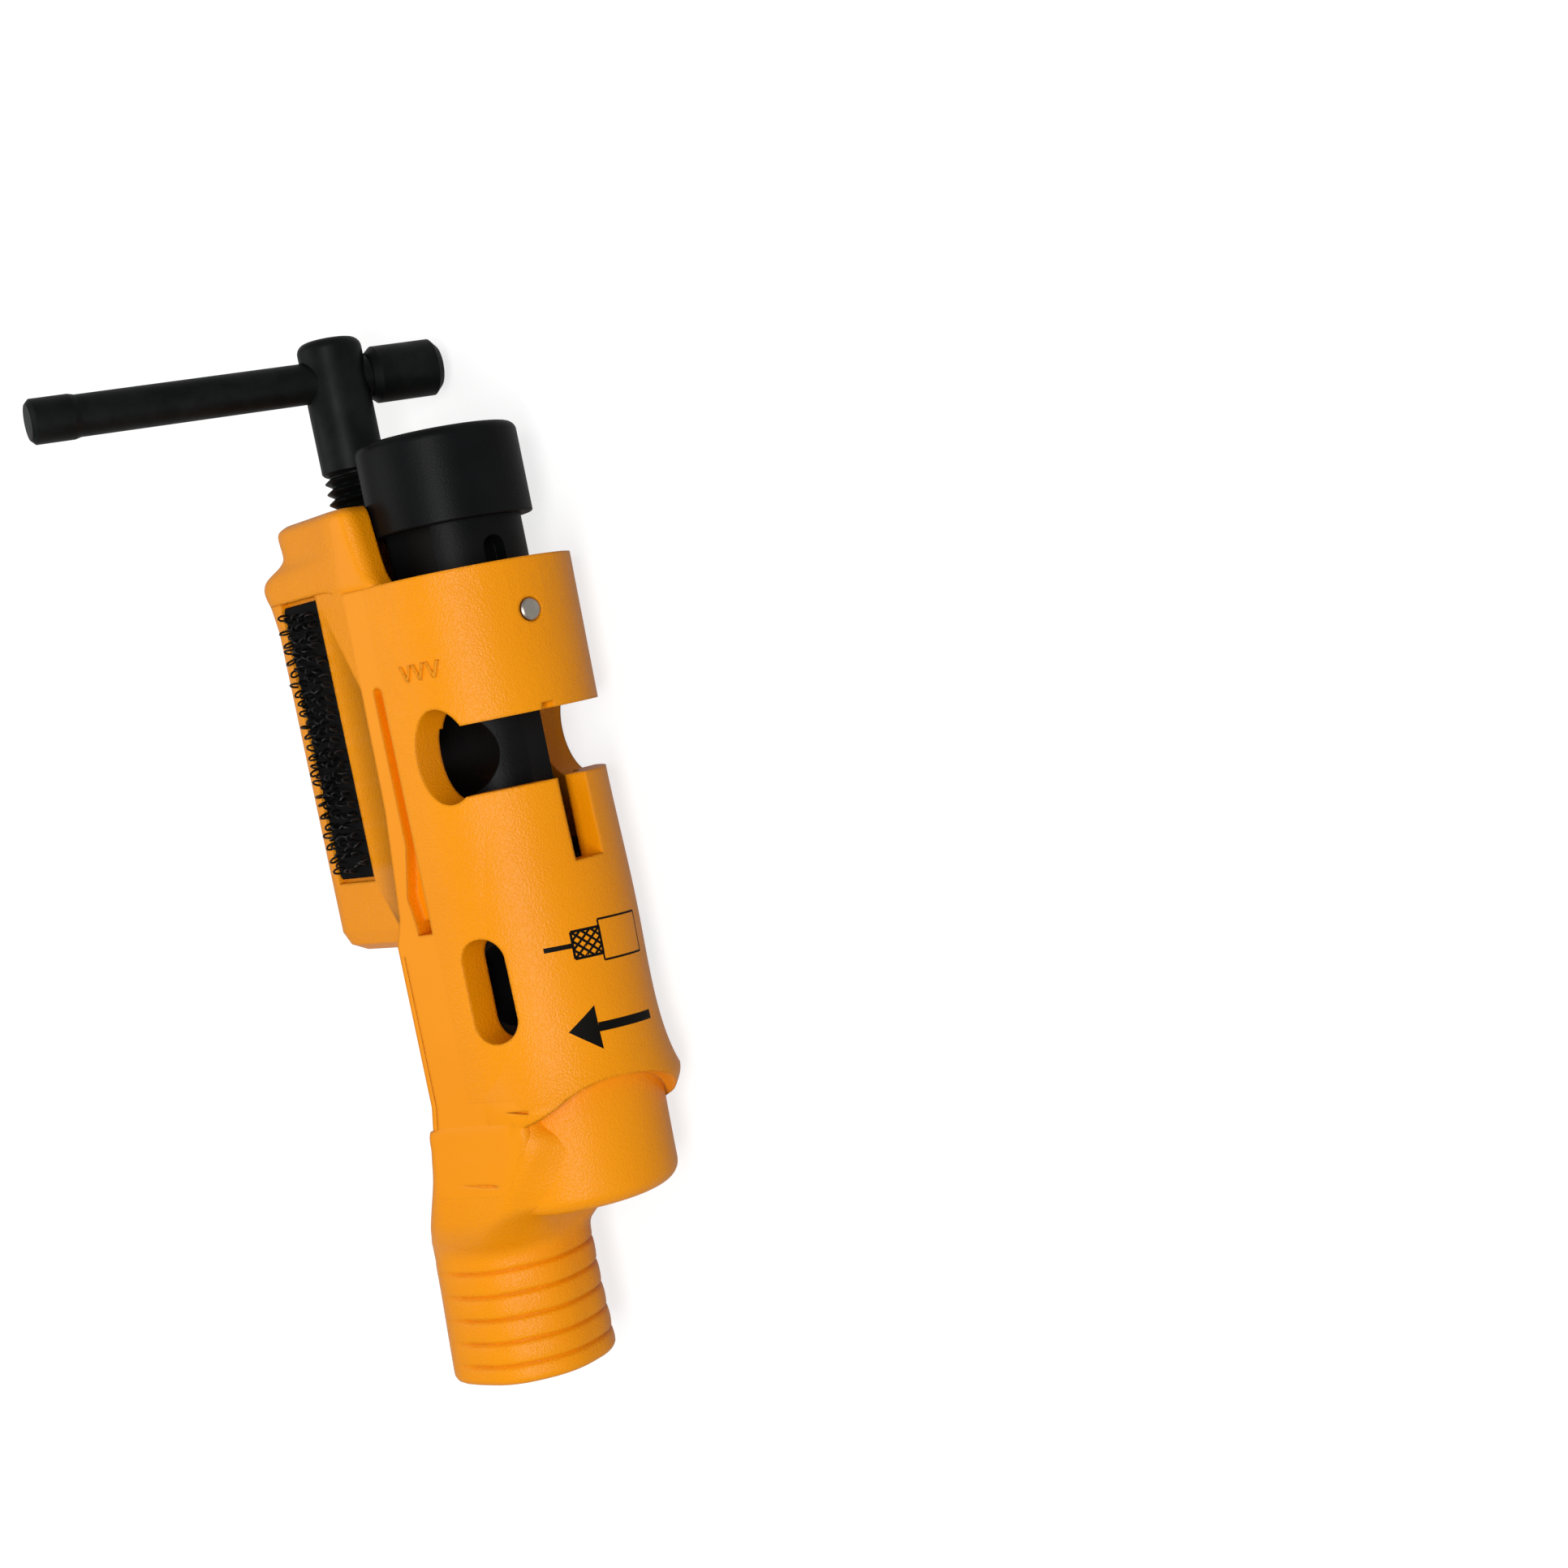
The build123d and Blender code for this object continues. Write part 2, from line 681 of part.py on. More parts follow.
# Push cap on the plunger
with BuildPart() as push_cap:
    with BuildSketch(level(0)) as cap_half:
        with BuildLine():
            Polyline(
                (0, cap_top), (cap_r, cap_top), (cap_r, cap_low), (neck_r + 0.03, cap_low),
                (neck_r + 0.03, neck_top), (cap_stub_r + 0.03, neck_top), (cap_stub_r + 0.03, plunger_top),
                (0, plunger_top), close=True,
            )
        make_face()
        fillet(cap_half.vertices().sort_by_distance((cap_r, cap_top))[0], radius=cap_round)
        fillet(cap_half.vertices().sort_by_distance((cap_r, cap_low))[0], radius=cap_round / 4)
    revolve(axis=barrel_axis)
save(push_cap, "push_cap")

# Steel guide pin through the collar into the plunger's slot
with BuildPart() as guide_pin:
    with BuildSketch(outward(0, pin_y, pin_angle).offset(neck_r - pin_reach)):
        Circle(pin_r)
    extrude(amount=collar_r + pin_proud - neck_r + pin_reach)
    chamfer(guide_pin.edges().filter_by(GeomType.CIRCLE), length=0.15)
save(guide_pin, "guide_pin")


def blade_outline(x, blade_z, low, high):
    # Section of a blade along the tool, with a two-sided bevel at its low edge
    half = blade_thick / 2
    with BuildSketch(beside(x)) as outline:
        with BuildLine():
            Polyline(
                (low, blade_z - blade_edge), (low, blade_z + blade_edge), (low + blade_bevel, blade_z + half),
                (high, blade_z + half), (high, blade_z - half), (low + blade_bevel, blade_z - half), close=True,
            )
        make_face()
    return outline.sketch


# Stripping blades, each a step deeper than the last
for blade_name, (blade_z, blade_low) in blade_places.items():
    with BuildPart() as blade:
        extrude(blade_outline(strip_x, blade_z, blade_low, blade_high), amount=blade_width / 2, both=True)
    save(blade, blade_name)

# Blade holder that fills the plunger's pocket
with BuildPart() as blade_holder:
    with BuildSketch(across(holder_high - blade_play)) as holder_section:
        with Locations(((holder_left + key_flat_x) / 2, 0)):
            Rectangle(key_flat_x - holder_left, 2 * holder_half)
        Circle(neck_r, mode=Mode.INTERSECT)
    extrude(amount=holder_high - blade_play - holder_low)
    for blade_z, blade_low in blade_places.values():
        with BuildSketch(level(blade_z)):
            with Locations((strip_x, (holder_low - 1 + blade_high + blade_play) / 2)):
                Rectangle(blade_width + 2 * blade_play, blade_high + blade_play - holder_low + 1)
        extrude(amount=blade_thick / 2 + 0.02, both=True, mode=Mode.SUBTRACT)
    with BuildSketch(beside(key_flat_x)):
        with Locations(*[(holder_screw_y, z) for z in holder_screw_z]):
            Circle(screw_r)
    extrude(amount=-2 * foot_r, mode=Mode.SUBTRACT)
    with BuildSketch(beside(key_flat_x)):
        with Locations(*[(holder_screw_y, z) for z in holder_screw_z]):
            Circle(screw_head_r + 0.05)
    extrude(amount=-screw_head_high, mode=Mode.SUBTRACT)
save(blade_holder, "blade_holder")

# Two small screws that hold the blade holder
with BuildPart() as holder_screws:
    with BuildSketch(beside(key_flat_x)):
        with Locations(*[(holder_screw_y, z) for z in holder_screw_z]):
            Circle(screw_head_r)
    extrude(amount=-screw_head_high)
    with BuildSketch(beside(key_flat_x - screw_head_high)):
        with Locations(*[(holder_screw_y, z) for z in holder_screw_z]):
            Circle(screw_r)
    extrude(amount=-(key_flat_x - screw_head_high - holder_screw_tip))
    with BuildSketch(beside(key_flat_x)):
        with Locations(*[(holder_screw_y, z) for z in holder_screw_z]):
            Rectangle(3 * screw_head_r, 0.35)
    extrude(amount=-0.3, mode=Mode.SUBTRACT)
save(holder_screws, "holder_screws")

# Cut-off blade over the upper cable hole, and its screw
with BuildPart() as cut_blade:
    extrude(blade_outline(cut_blade_left, cut_blade_z, cut_blade_low, cut_blade_high), amount=cut_blade_right - cut_blade_left)
    with BuildSketch(level(cut_blade_z)):
        with Locations((cut_screw_x, cut_screw_y)):
            Circle(screw_r)
    extrude(amount=blade_thick, both=True, mode=Mode.SUBTRACT)
save(cut_blade, "cut_blade")

with BuildPart() as cut_blade_screw:
    with BuildSketch(level(neck_step_z)):
        with Locations((cut_screw_x, cut_screw_y)):
            Circle(screw_head_r)
    extrude(amount=-screw_head_high)
    with BuildSketch(level(neck_step_z - screw_head_high)):
        with Locations((cut_screw_x, cut_screw_y)):
            Circle(screw_r)
    extrude(amount=-(neck_step_z - screw_head_high + neck_r / 2))
    with BuildSketch(level(neck_step_z)):
        with Locations((cut_screw_x, cut_screw_y)):
            Rectangle(3 * screw_head_r, 0.35)
    extrude(amount=-0.3, mode=Mode.SUBTRACT)
save(cut_blade_screw, "cut_blade_screw")

# Return spring on its spigot, and the washer between it and the plunger's foot
spring_low = cup_inside + spring_wire / 2
spring_high = foot_low - seat_thick - 0.05 - spring_wire / 2
with BuildPart() as spring_seat:
    with BuildSketch(across(foot_low)):
        Circle(spring_r + spring_wire / 2)
        Circle(spigot_r + slide_play, mode=Mode.SUBTRACT)
    extrude(amount=seat_thick)
save(spring_seat, "spring_seat")

with BuildPart() as return_spring:
    with BuildLine() as spring_line:
        Helix(
            pitch=(spring_high - spring_low) / spring_turns, height=spring_high - spring_low, radius=spring_r,
            center=(barrel_x, spring_low, axis_height), direction=(0, 1, 0),
        )
    with BuildSketch(Plane(origin=spring_line.line @ 0, z_dir=spring_line.line % 0)):
        Circle(spring_wire / 2)
    sweep()
save(return_spring, "return_spring")

# Threaded insert of the press screw
with BuildPart() as thread_insert:
    insert_outline = [
        (screw_major_r + thread_play, insert_low), (insert_r, insert_low), (insert_r, insert_low + 2.6),
        (insert_r - 0.4, insert_low + 3.0), (insert_r - 0.4, insert_high - 3.0), (insert_r, insert_high - 2.6),
        (insert_r, insert_high), (screw_major_r + thread_play, insert_high),
    ]
    revolve(half_outline(insert_outline, screw_x), axis=screw_axis)
save(thread_insert, "thread_insert")

# Press screw: thread, smooth shank with a domed end, and a necked tip
pad_top = pad_low + pad_thick
shoulder = pad_top + 0.05
plate_low = pad_top - pad_plate
ring_high = plate_low - 0.1
tip_low = shoulder - tip_groove - pad_plate - tip_end
with BuildPart() as spindle:
    with BuildSketch(level(0)):
        with BuildLine():
            Polyline(
                (screw_x, shank_top), (screw_x, tip_low),
                (screw_x + tip_r - 0.3, tip_low),
                (screw_x + tip_r, tip_low + 0.3),
                (screw_x + tip_r, ring_high - tip_groove), (screw_x + tip_groove_r, ring_high - tip_groove),
                (screw_x + tip_groove_r, ring_high), (screw_x + tip_r, ring_high), (screw_x + tip_r, shoulder),
                (screw_x + screw_major_r - 0.4, shoulder), (screw_x + screw_major_r, shoulder + 0.4),
                (screw_x + screw_major_r, shank_low), (screw_x + shank_r, shank_low),
                (screw_x + shank_r, shank_top - dome_high),
            )
            TangentArc((screw_x, shank_top), (screw_x + shank_r, shank_top - dome_high), tangent=(1, 0))
        make_face()
    revolve(axis=screw_axis)
    with BuildSketch(outward(screw_x, bar_y, bar_angle)):
        Circle(bar_r + bar_play)
    extrude(amount=2 * shank_r, both=True, mode=Mode.SUBTRACT)
save(spindle, "spindle")

# Sliding tommy bar: head on the short side, swaged end on the long side
with BuildPart() as tommy_bar:
    bar_plane = outward(screw_x, bar_y, bar_angle)
    with BuildSketch(Plane(origin=bar_plane.origin, x_dir=bar_plane.x_dir, z_dir=-bar_plane.y_dir)):
        with BuildLine():
            Polyline(
                (0, -head_end), (head_r - head_round, -head_end), (head_r, -head_end + head_round),
                (head_r, -head_start - head_neck + 0.5), (bar_r + 0.2, -head_start),
                (bar_r, -head_start), (bar_r, swage_start), (swage_r, swage_start + 0.6),
                (swage_r, bar_tip - 0.4), (swage_r - 0.4, bar_tip), (0, bar_tip), close=True,
            )
        make_face()
    revolve(axis=Axis(bar_plane.origin, bar_plane.z_dir))
save(tommy_bar, "tommy_bar")

# Press pad on the screw's tip, its retaining ring, and the slotted seat at the cavity's low end
with BuildPart() as press_pad:
    pad_outline = [
        (pad_cup_r, pad_low), (pad_r - 0.3, pad_low), (pad_r, pad_low + 0.3), (pad_r, pad_top - 0.3),
        (pad_r - 0.3, pad_top), (tip_r + thread_play, pad_top), (tip_r + thread_play, plate_low), (pad_cup_r, plate_low),
    ]
    revolve(half_outline(pad_outline, screw_x), axis=screw_axis)
save(press_pad, "press_pad")

with BuildPart() as pad_ring:
    with BuildSketch(across(ring_high - 0.02)):
        with Locations((screw_x, 0)):
            Circle(ring_r)
            Circle(tip_groove_r + 0.03, mode=Mode.SUBTRACT)
        with Locations((screw_x, -ring_r)):
            Rectangle(1.6, 2 * ring_r - 1.6, mode=Mode.SUBTRACT)
    extrude(amount=ring_thick)
save(pad_ring, "pad_ring")

with BuildPart() as connector_seat:
    with BuildSketch(across(cavity_low + seat_plate)):
        with Locations((screw_x, 0)):
            Circle(cavity_r - blade_play)
        with Locations((screw_x, (back_z + 1) / 2)):
            Rectangle(2 * (cavity_r - blade_play), -back_z - 1)
        with Locations((screw_x, 0)):
            Circle(cable_r, mode=Mode.SUBTRACT)
        with Locations((screw_x, back_z / 2)):
            Rectangle(2 * cable_r, -back_z, mode=Mode.SUBTRACT)
    extrude(amount=seat_plate)
save(connector_seat, "connector_seat")
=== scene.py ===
import bmesh
import bpy
import math
from mathutils import Matrix, Vector
from mathutils.bvhtree import BVHTree


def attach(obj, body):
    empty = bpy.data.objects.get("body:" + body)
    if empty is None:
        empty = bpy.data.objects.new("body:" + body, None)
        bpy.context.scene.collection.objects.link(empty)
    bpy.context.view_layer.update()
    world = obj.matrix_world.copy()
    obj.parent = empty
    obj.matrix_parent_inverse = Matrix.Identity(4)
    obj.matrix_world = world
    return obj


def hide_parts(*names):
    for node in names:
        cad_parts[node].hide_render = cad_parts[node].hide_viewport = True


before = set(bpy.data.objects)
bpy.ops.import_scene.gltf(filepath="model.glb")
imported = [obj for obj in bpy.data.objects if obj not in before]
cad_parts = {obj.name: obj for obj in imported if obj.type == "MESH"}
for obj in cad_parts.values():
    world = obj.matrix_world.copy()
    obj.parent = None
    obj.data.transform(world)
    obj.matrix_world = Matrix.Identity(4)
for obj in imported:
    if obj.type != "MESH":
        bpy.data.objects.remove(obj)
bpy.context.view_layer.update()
mm = 0.001

# the two axes of the tool in the shared frame, and how far the screw's lies beside the barrel's in mm
toolAxes = {"barrelX": 5.5 * mm, "screwX": -5.5 * mm, "height": 10.5 * mm, "flatTop": 20.7 * mm}
screwBeside = -11.0


def shadeTree(name, gloss):
    # a fresh material: its nodes, links and shader, and the Object coordinates it reads
    material = bpy.data.materials.new(name)
    material.use_nodes = True
    nodes, links = material.node_tree.nodes, material.node_tree.links
    shader = nodes["Principled BSDF"]
    shader.inputs["Specular IOR Level"].default_value = gloss
    return material, nodes, links, shader, nodes.new("ShaderNodeTexCoord").outputs["Object"]


def mathNode(nodes, links, operation, first, second=0.5):
    node = nodes.new("ShaderNodeMath")
    node.operation = operation
    for place, value in enumerate((first, second)):
        if isinstance(value, (int, float)):
            node.inputs[place].default_value = value
        else:
            links.new(value, node.inputs[place])
    return node.outputs[0]


def noiseNode(nodes, links, coordinates, scale, detail=3.0, roughness=0.5):
    node = nodes.new("ShaderNodeTexNoise")
    node.inputs["Scale"].default_value = scale
    node.inputs["Detail"].default_value = detail
    node.inputs["Roughness"].default_value = roughness
    links.new(coordinates, node.inputs["Vector"])
    return node.outputs["Fac"]


def blendColor(nodes, links, shader, value, *stops):
    # the base colour goes from one (place, colour) stop to the other as the value grows
    node = nodes.new("ShaderNodeValToRGB")
    for element, (place, color) in zip(node.color_ramp.elements, stops):
        element.position, element.color = place, color
    links.new(value, node.inputs["Fac"])
    links.new(node.outputs["Color"], shader.inputs["Base Color"])


def blendRoughness(nodes, links, shader, value, low, high):
    rough = nodes.new("ShaderNodeMapRange")
    rough.inputs["To Min"].default_value = low
    rough.inputs["To Max"].default_value = high
    links.new(value, rough.inputs["Value"])
    links.new(rough.outputs["Result"], shader.inputs["Roughness"])


def fineRelief(nodes, links, shader, height, distance, edgeRound=0.0):
    # relief in the shading, over edges that it rounds
    bump = nodes.new("ShaderNodeBump")
    bump.inputs["Distance"].default_value = distance
    links.new(height, bump.inputs["Height"])
    if edgeRound:
        rounded = nodes.new("ShaderNodeBevel")
        rounded.samples = 4
        rounded.inputs["Radius"].default_value = edgeRound
        links.new(rounded.outputs["Normal"], bump.inputs["Normal"])
    links.new(bump.outputs["Normal"], shader.inputs["Normal"])


def linear(red, green, blue):
    # sRGB 0-255 to the linear values that the shader wants
    shares = (red / 255, green / 255, blue / 255)
    return tuple(c / 12.92 if c <= 0.04045 else ((c + 0.055) / 1.055) ** 2.4 for c in shares) + (1.0,)


def lighter(color, times, more=0.0):
    return tuple(min(1.0, c * times + more) for c in color[:3]) + (1.0,)


yellowMoulding = {"main": (252, 156, 4), "deep": (247, 150, 3), "cloud": 60.0, "roughSmooth": 0.36, "roughGrain": 0.3,
                  "gloss": 0.2, "grainScale": 6000.0, "cellScale": 4800.0, "grainHeight": 0.035 * mm,
                  "edgeRound": 0.45 * mm, "flatAbove": 20.64 * mm, "flatBelow": 0.05 * mm, "flatLeftOf": 2.3 * mm,
                  "flatUnder": -8.8 * mm}


def yellowPlastic():
    # leather grain everywhere but on the flat sides, which are smooth
    look = yellowMoulding
    material, nodes, links, shader, place = shadeTree("yellowPlastic", look["gloss"])
    split = nodes.new("ShaderNodeSeparateXYZ")
    links.new(place, split.inputs[0])
    cloudy = noiseNode(nodes, links, place, look["cloud"], 2.0)
    blendColor(nodes, links, shader, cloudy, (0.3, linear(*look["deep"])), (0.7, linear(*look["main"])))
    onTop = mathNode(nodes, links, "GREATER_THAN", split.outputs["Z"], look["flatAbove"])
    onBack = mathNode(nodes, links, "LESS_THAN", split.outputs["Z"], look["flatBelow"])
    leftOfBarrel = mathNode(nodes, links, "LESS_THAN", split.outputs["X"], look["flatLeftOf"])
    belowFlare = mathNode(nodes, links, "LESS_THAN", split.outputs["Y"], look["flatUnder"])
    flatPart = mathNode(nodes, links, "MAXIMUM", leftOfBarrel, belowFlare)
    smooth = mathNode(nodes, links, "MULTIPLY", mathNode(nodes, links, "MAXIMUM", onTop, onBack), flatPart)
    grainShare = mathNode(nodes, links, "SUBTRACT", 1.0, smooth)
    grain = noiseNode(nodes, links, place, look["grainScale"], 2.0, 0.55)
    cells = nodes.new("ShaderNodeTexVoronoi")
    cells.inputs["Scale"].default_value = look["cellScale"]
    links.new(place, cells.inputs["Vector"])
    leather = mathNode(nodes, links, "ADD", grain, cells.outputs["Distance"])
    blendRoughness(nodes, links, shader, grainShare, look["roughSmooth"], look["roughGrain"])
    height = mathNode(nodes, links, "MULTIPLY", leather, grainShare)
    fineRelief(nodes, links, shader, height, look["grainHeight"], look["edgeRound"])
    return material


blackMoulding = {"cloud": 180.0, "edgeRound": 0.18 * mm}


def mouldedBlack(name, color, roughness, grainHeight, grainScale=5000.0, gloss=0.09):
    material, nodes, links, shader, place = shadeTree(name, gloss)
    cloudy = noiseNode(nodes, links, place, blackMoulding["cloud"])
    blendColor(nodes, links, shader, cloudy, (0.35, color), (0.75, lighter(color, 1.5, 0.002)))
    blendRoughness(nodes, links, shader, cloudy, roughness - 0.06, roughness + 0.08)
    grain = noiseNode(nodes, links, place, grainScale, 2.0)
    fineRelief(nodes, links, shader, grain, grainHeight, blackMoulding["edgeRound"])
    return material


metalWear = {"lines": 900.0, "patches": 320.0, "detail": 0.6}


def bareMetal(name, color, metallic, roughness, stretch, scratch, gloss=0.5):
    # drawn or turned metal: fine lines that run along one axis, and a worn tone
    material, nodes, links, shader, place = shadeTree(name, gloss)
    shader.inputs["Metallic"].default_value = metallic
    mapping = nodes.new("ShaderNodeMapping")
    mapping.inputs["Scale"].default_value = stretch
    links.new(place, mapping.inputs["Vector"])
    lines = noiseNode(nodes, links, mapping.outputs["Vector"], metalWear["lines"], 3.0, metalWear["detail"])
    patches = noiseNode(nodes, links, place, metalWear["patches"], 4.0, metalWear["detail"])
    blendColor(nodes, links, shader, patches, (0.42, color), (0.72, lighter(color, 1.35, 0.004)))
    blendRoughness(nodes, links, shader, lines, roughness - 0.1, roughness + 0.12)
    fineRelief(nodes, links, shader, lines, scratch)
    return material


finishes = {
    "yellow": yellowPlastic(),
    "black": mouldedBlack("blackPlastic", linear(9, 10, 11), 0.4, 0.02 * mm),
    "holderBlack": mouldedBlack("holderPlastic", linear(8, 9, 9), 0.36, 0.015 * mm),
    "print": mouldedBlack("printInk", linear(12, 11, 9), 0.5, 0.004 * mm, gloss=0.08),
    "tape": mouldedBlack("tapeWeb", linear(10, 10, 10), 0.8, 0.06 * mm, grainScale=1500.0, gloss=0.1),
    "hook": mouldedBlack("hookYarn", linear(12, 12, 13), 0.38, 0.002 * mm, grainScale=1800.0, gloss=0.3),
    "blackSteel": bareMetal("blackSteel", linear(13, 15, 15), 0.2, 0.42, (1.0, 0.25, 1.0), 0.008 * mm, 0.14),
    "steel": bareMetal("bareSteel", linear(176, 170, 160), 1.0, 0.34, (1.0, 0.2, 1.0), 0.003 * mm),
    "springSteel": bareMetal("springWire", linear(160, 160, 158), 1.0, 0.32, (1.0, 1.0, 1.0), 0.002 * mm),
    "brass": bareMetal("insertBrass", linear(214, 178, 104), 1.0, 0.3, (1.0, 0.2, 1.0), 0.003 * mm),
}
cadFinish = {
    "housing": "yellow", "push_cap": "black", "plunger": "black", "blade_holder": "holderBlack", "guide_pin": "steel",
    "tommy_bar": "blackSteel", "spindle": "blackSteel", "pad_ring": "steel", "press_pad": "steel",
    "connector_seat": "steel", "thread_insert": "brass", "jacket_blade": "steel", "braid_blade": "steel",
    "conductor_blade": "steel", "holder_screws": "steel", "cut_blade": "steel", "cut_blade_screw": "steel",
    "spring_seat": "steel", "return_spring": "springSteel", "hook_tape": "tape",
}
for node, finish in cadFinish.items():
    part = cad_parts[node]
    part.data.materials.clear()
    part.data.materials.append(finishes[finish])
print("finishes on", len(cadFinish), "CAD parts")


def newPiece(name, mesh, finish):
    piece = bpy.data.objects.new(name, mesh)
    bpy.context.scene.collection.objects.link(piece)
    mesh.materials.clear()
    mesh.materials.append(finishes[finish])
    return piece


def pieceFrom(work, name, finish, smoothTo=None):
    # a piece from a finished edit mesh, its faces outwards and smooth up to an angle
    bmesh.ops.recalc_face_normals(work, faces=work.faces)
    mesh = bpy.data.meshes.new(name)
    work.to_mesh(mesh)
    work.free()
    if smoothTo:
        shadeSmooth(mesh, smoothTo)
    return newPiece(name, mesh, finish)


def closeEnds(work):
    bmesh.ops.holes_fill(work, edges=[edge for edge in work.edges if edge.is_boundary], sides=0)


def outwardFaces(mesh, openEnds=False):
    work = bmesh.new()
    work.from_mesh(mesh)
    if openEnds:
        closeEnds(work)
    bmesh.ops.recalc_face_normals(work, faces=work.faces)
    work.to_mesh(mesh)
    work.free()


def shadeSmooth(mesh, angle):
    mesh.polygons.foreach_set("use_smooth", [True] * len(mesh.polygons))
    mesh.set_sharp_from_angle(angle=math.radians(angle))


def carve(piece, tool):
    # takes the tool's shape out of the piece, and the tool out of the scene
    cut = piece.modifiers.new("cut", "BOOLEAN")
    cut.operation, cut.solver, cut.object = "DIFFERENCE", "EXACT", tool
    carved = bpy.data.meshes.new_from_object(piece.evaluated_get(bpy.context.evaluated_depsgraph_get()))
    piece.modifiers.remove(cut)
    piece.data = carved
    bpy.data.objects.remove(tool)


def nodeTree(name, sizes):
    # an empty geometry tree with one named number for each size
    tree = bpy.data.node_groups.new(name, "GeometryNodeTree")
    tree.interface.new_socket("Geometry", in_out="INPUT", socket_type="NodeSocketGeometry")
    for size, value in sizes.items():
        kind = "NodeSocketInt" if isinstance(value, int) else "NodeSocketFloat"
        tree.interface.new_socket(size, in_out="INPUT", socket_type=kind).default_value = value
    tree.interface.new_socket("Geometry", in_out="OUTPUT", socket_type="NodeSocketGeometry")
    return tree, tree.nodes.new("NodeGroupInput"), tree.nodes.new("NodeGroupOutput")


def treeMath(tree, operation, first, second=0.0, third=0.0):
    node = tree.nodes.new("ShaderNodeMath")
    node.operation = operation
    for place, value in enumerate((first, second, third)):
        if isinstance(value, (int, float)):
            node.inputs[place].default_value = value
        else:
            tree.links.new(value, node.inputs[place])
    return node.outputs[0]


def meshFromTree(name, tree, sizes, finish):
    # runs the tree on an empty mesh and keeps the result as a plain mesh
    holder = bpy.data.objects.new(name + "Maker", bpy.data.meshes.new(name + "Maker"))
    bpy.context.scene.collection.objects.link(holder)
    maker = holder.modifiers.new("maker", "NODES")
    maker.node_group = tree
    for item in tree.interface.items_tree:
        if item.in_out == "INPUT" and item.name in sizes:
            maker[item.identifier] = sizes[item.name]
    evaluated = holder.evaluated_get(bpy.context.evaluated_depsgraph_get())
    mesh = bpy.data.meshes.new_from_object(evaluated)
    holder.modifiers.remove(maker)
    bpy.data.objects.remove(holder)
    mesh.name = name
    return newPiece(name, mesh, finish)


def closeTree(tree, geometry, groupOutput, finish):
    realize = tree.nodes.new("GeometryNodeRealizeInstances")
    paint = tree.nodes.new("GeometryNodeSetMaterial")
    paint.inputs["Material"].default_value = finishes[finish]
    tree.links.new(geometry, realize.inputs["Geometry"])
    tree.links.new(realize.outputs["Geometry"], paint.inputs["Geometry"])
    tree.links.new(paint.outputs["Geometry"], groupOutput.inputs["Geometry"])


# crestFlat and rootFrom bound the groove's flank, as shares of the pitch from the middle of a crest
pressScrew = {"low": 24.65 * mm, "high": 51.2 * mm, "pitch": 1.0 * mm, "outer": 3.0 * mm, "depth": 0.66 * mm,
              "around": 40, "rings": 266, "crestFlat": 0.03, "rootFrom": 0.46, "runOutHigh": 2.5, "weld": 0.002 * mm,
              "shank": 3.08 * mm, "top": 64.0 * mm, "edge": 1.0 * mm, "crown": 0.2 * mm, "dome": 0.05 * mm,
              "overlap": 0.02 * mm, "chamfer": 0.1 * mm, "barY": 60.0 * mm, "barHole": 2.01 * mm, "barAngle": 118.0,
              "drillLong": 12 * mm}


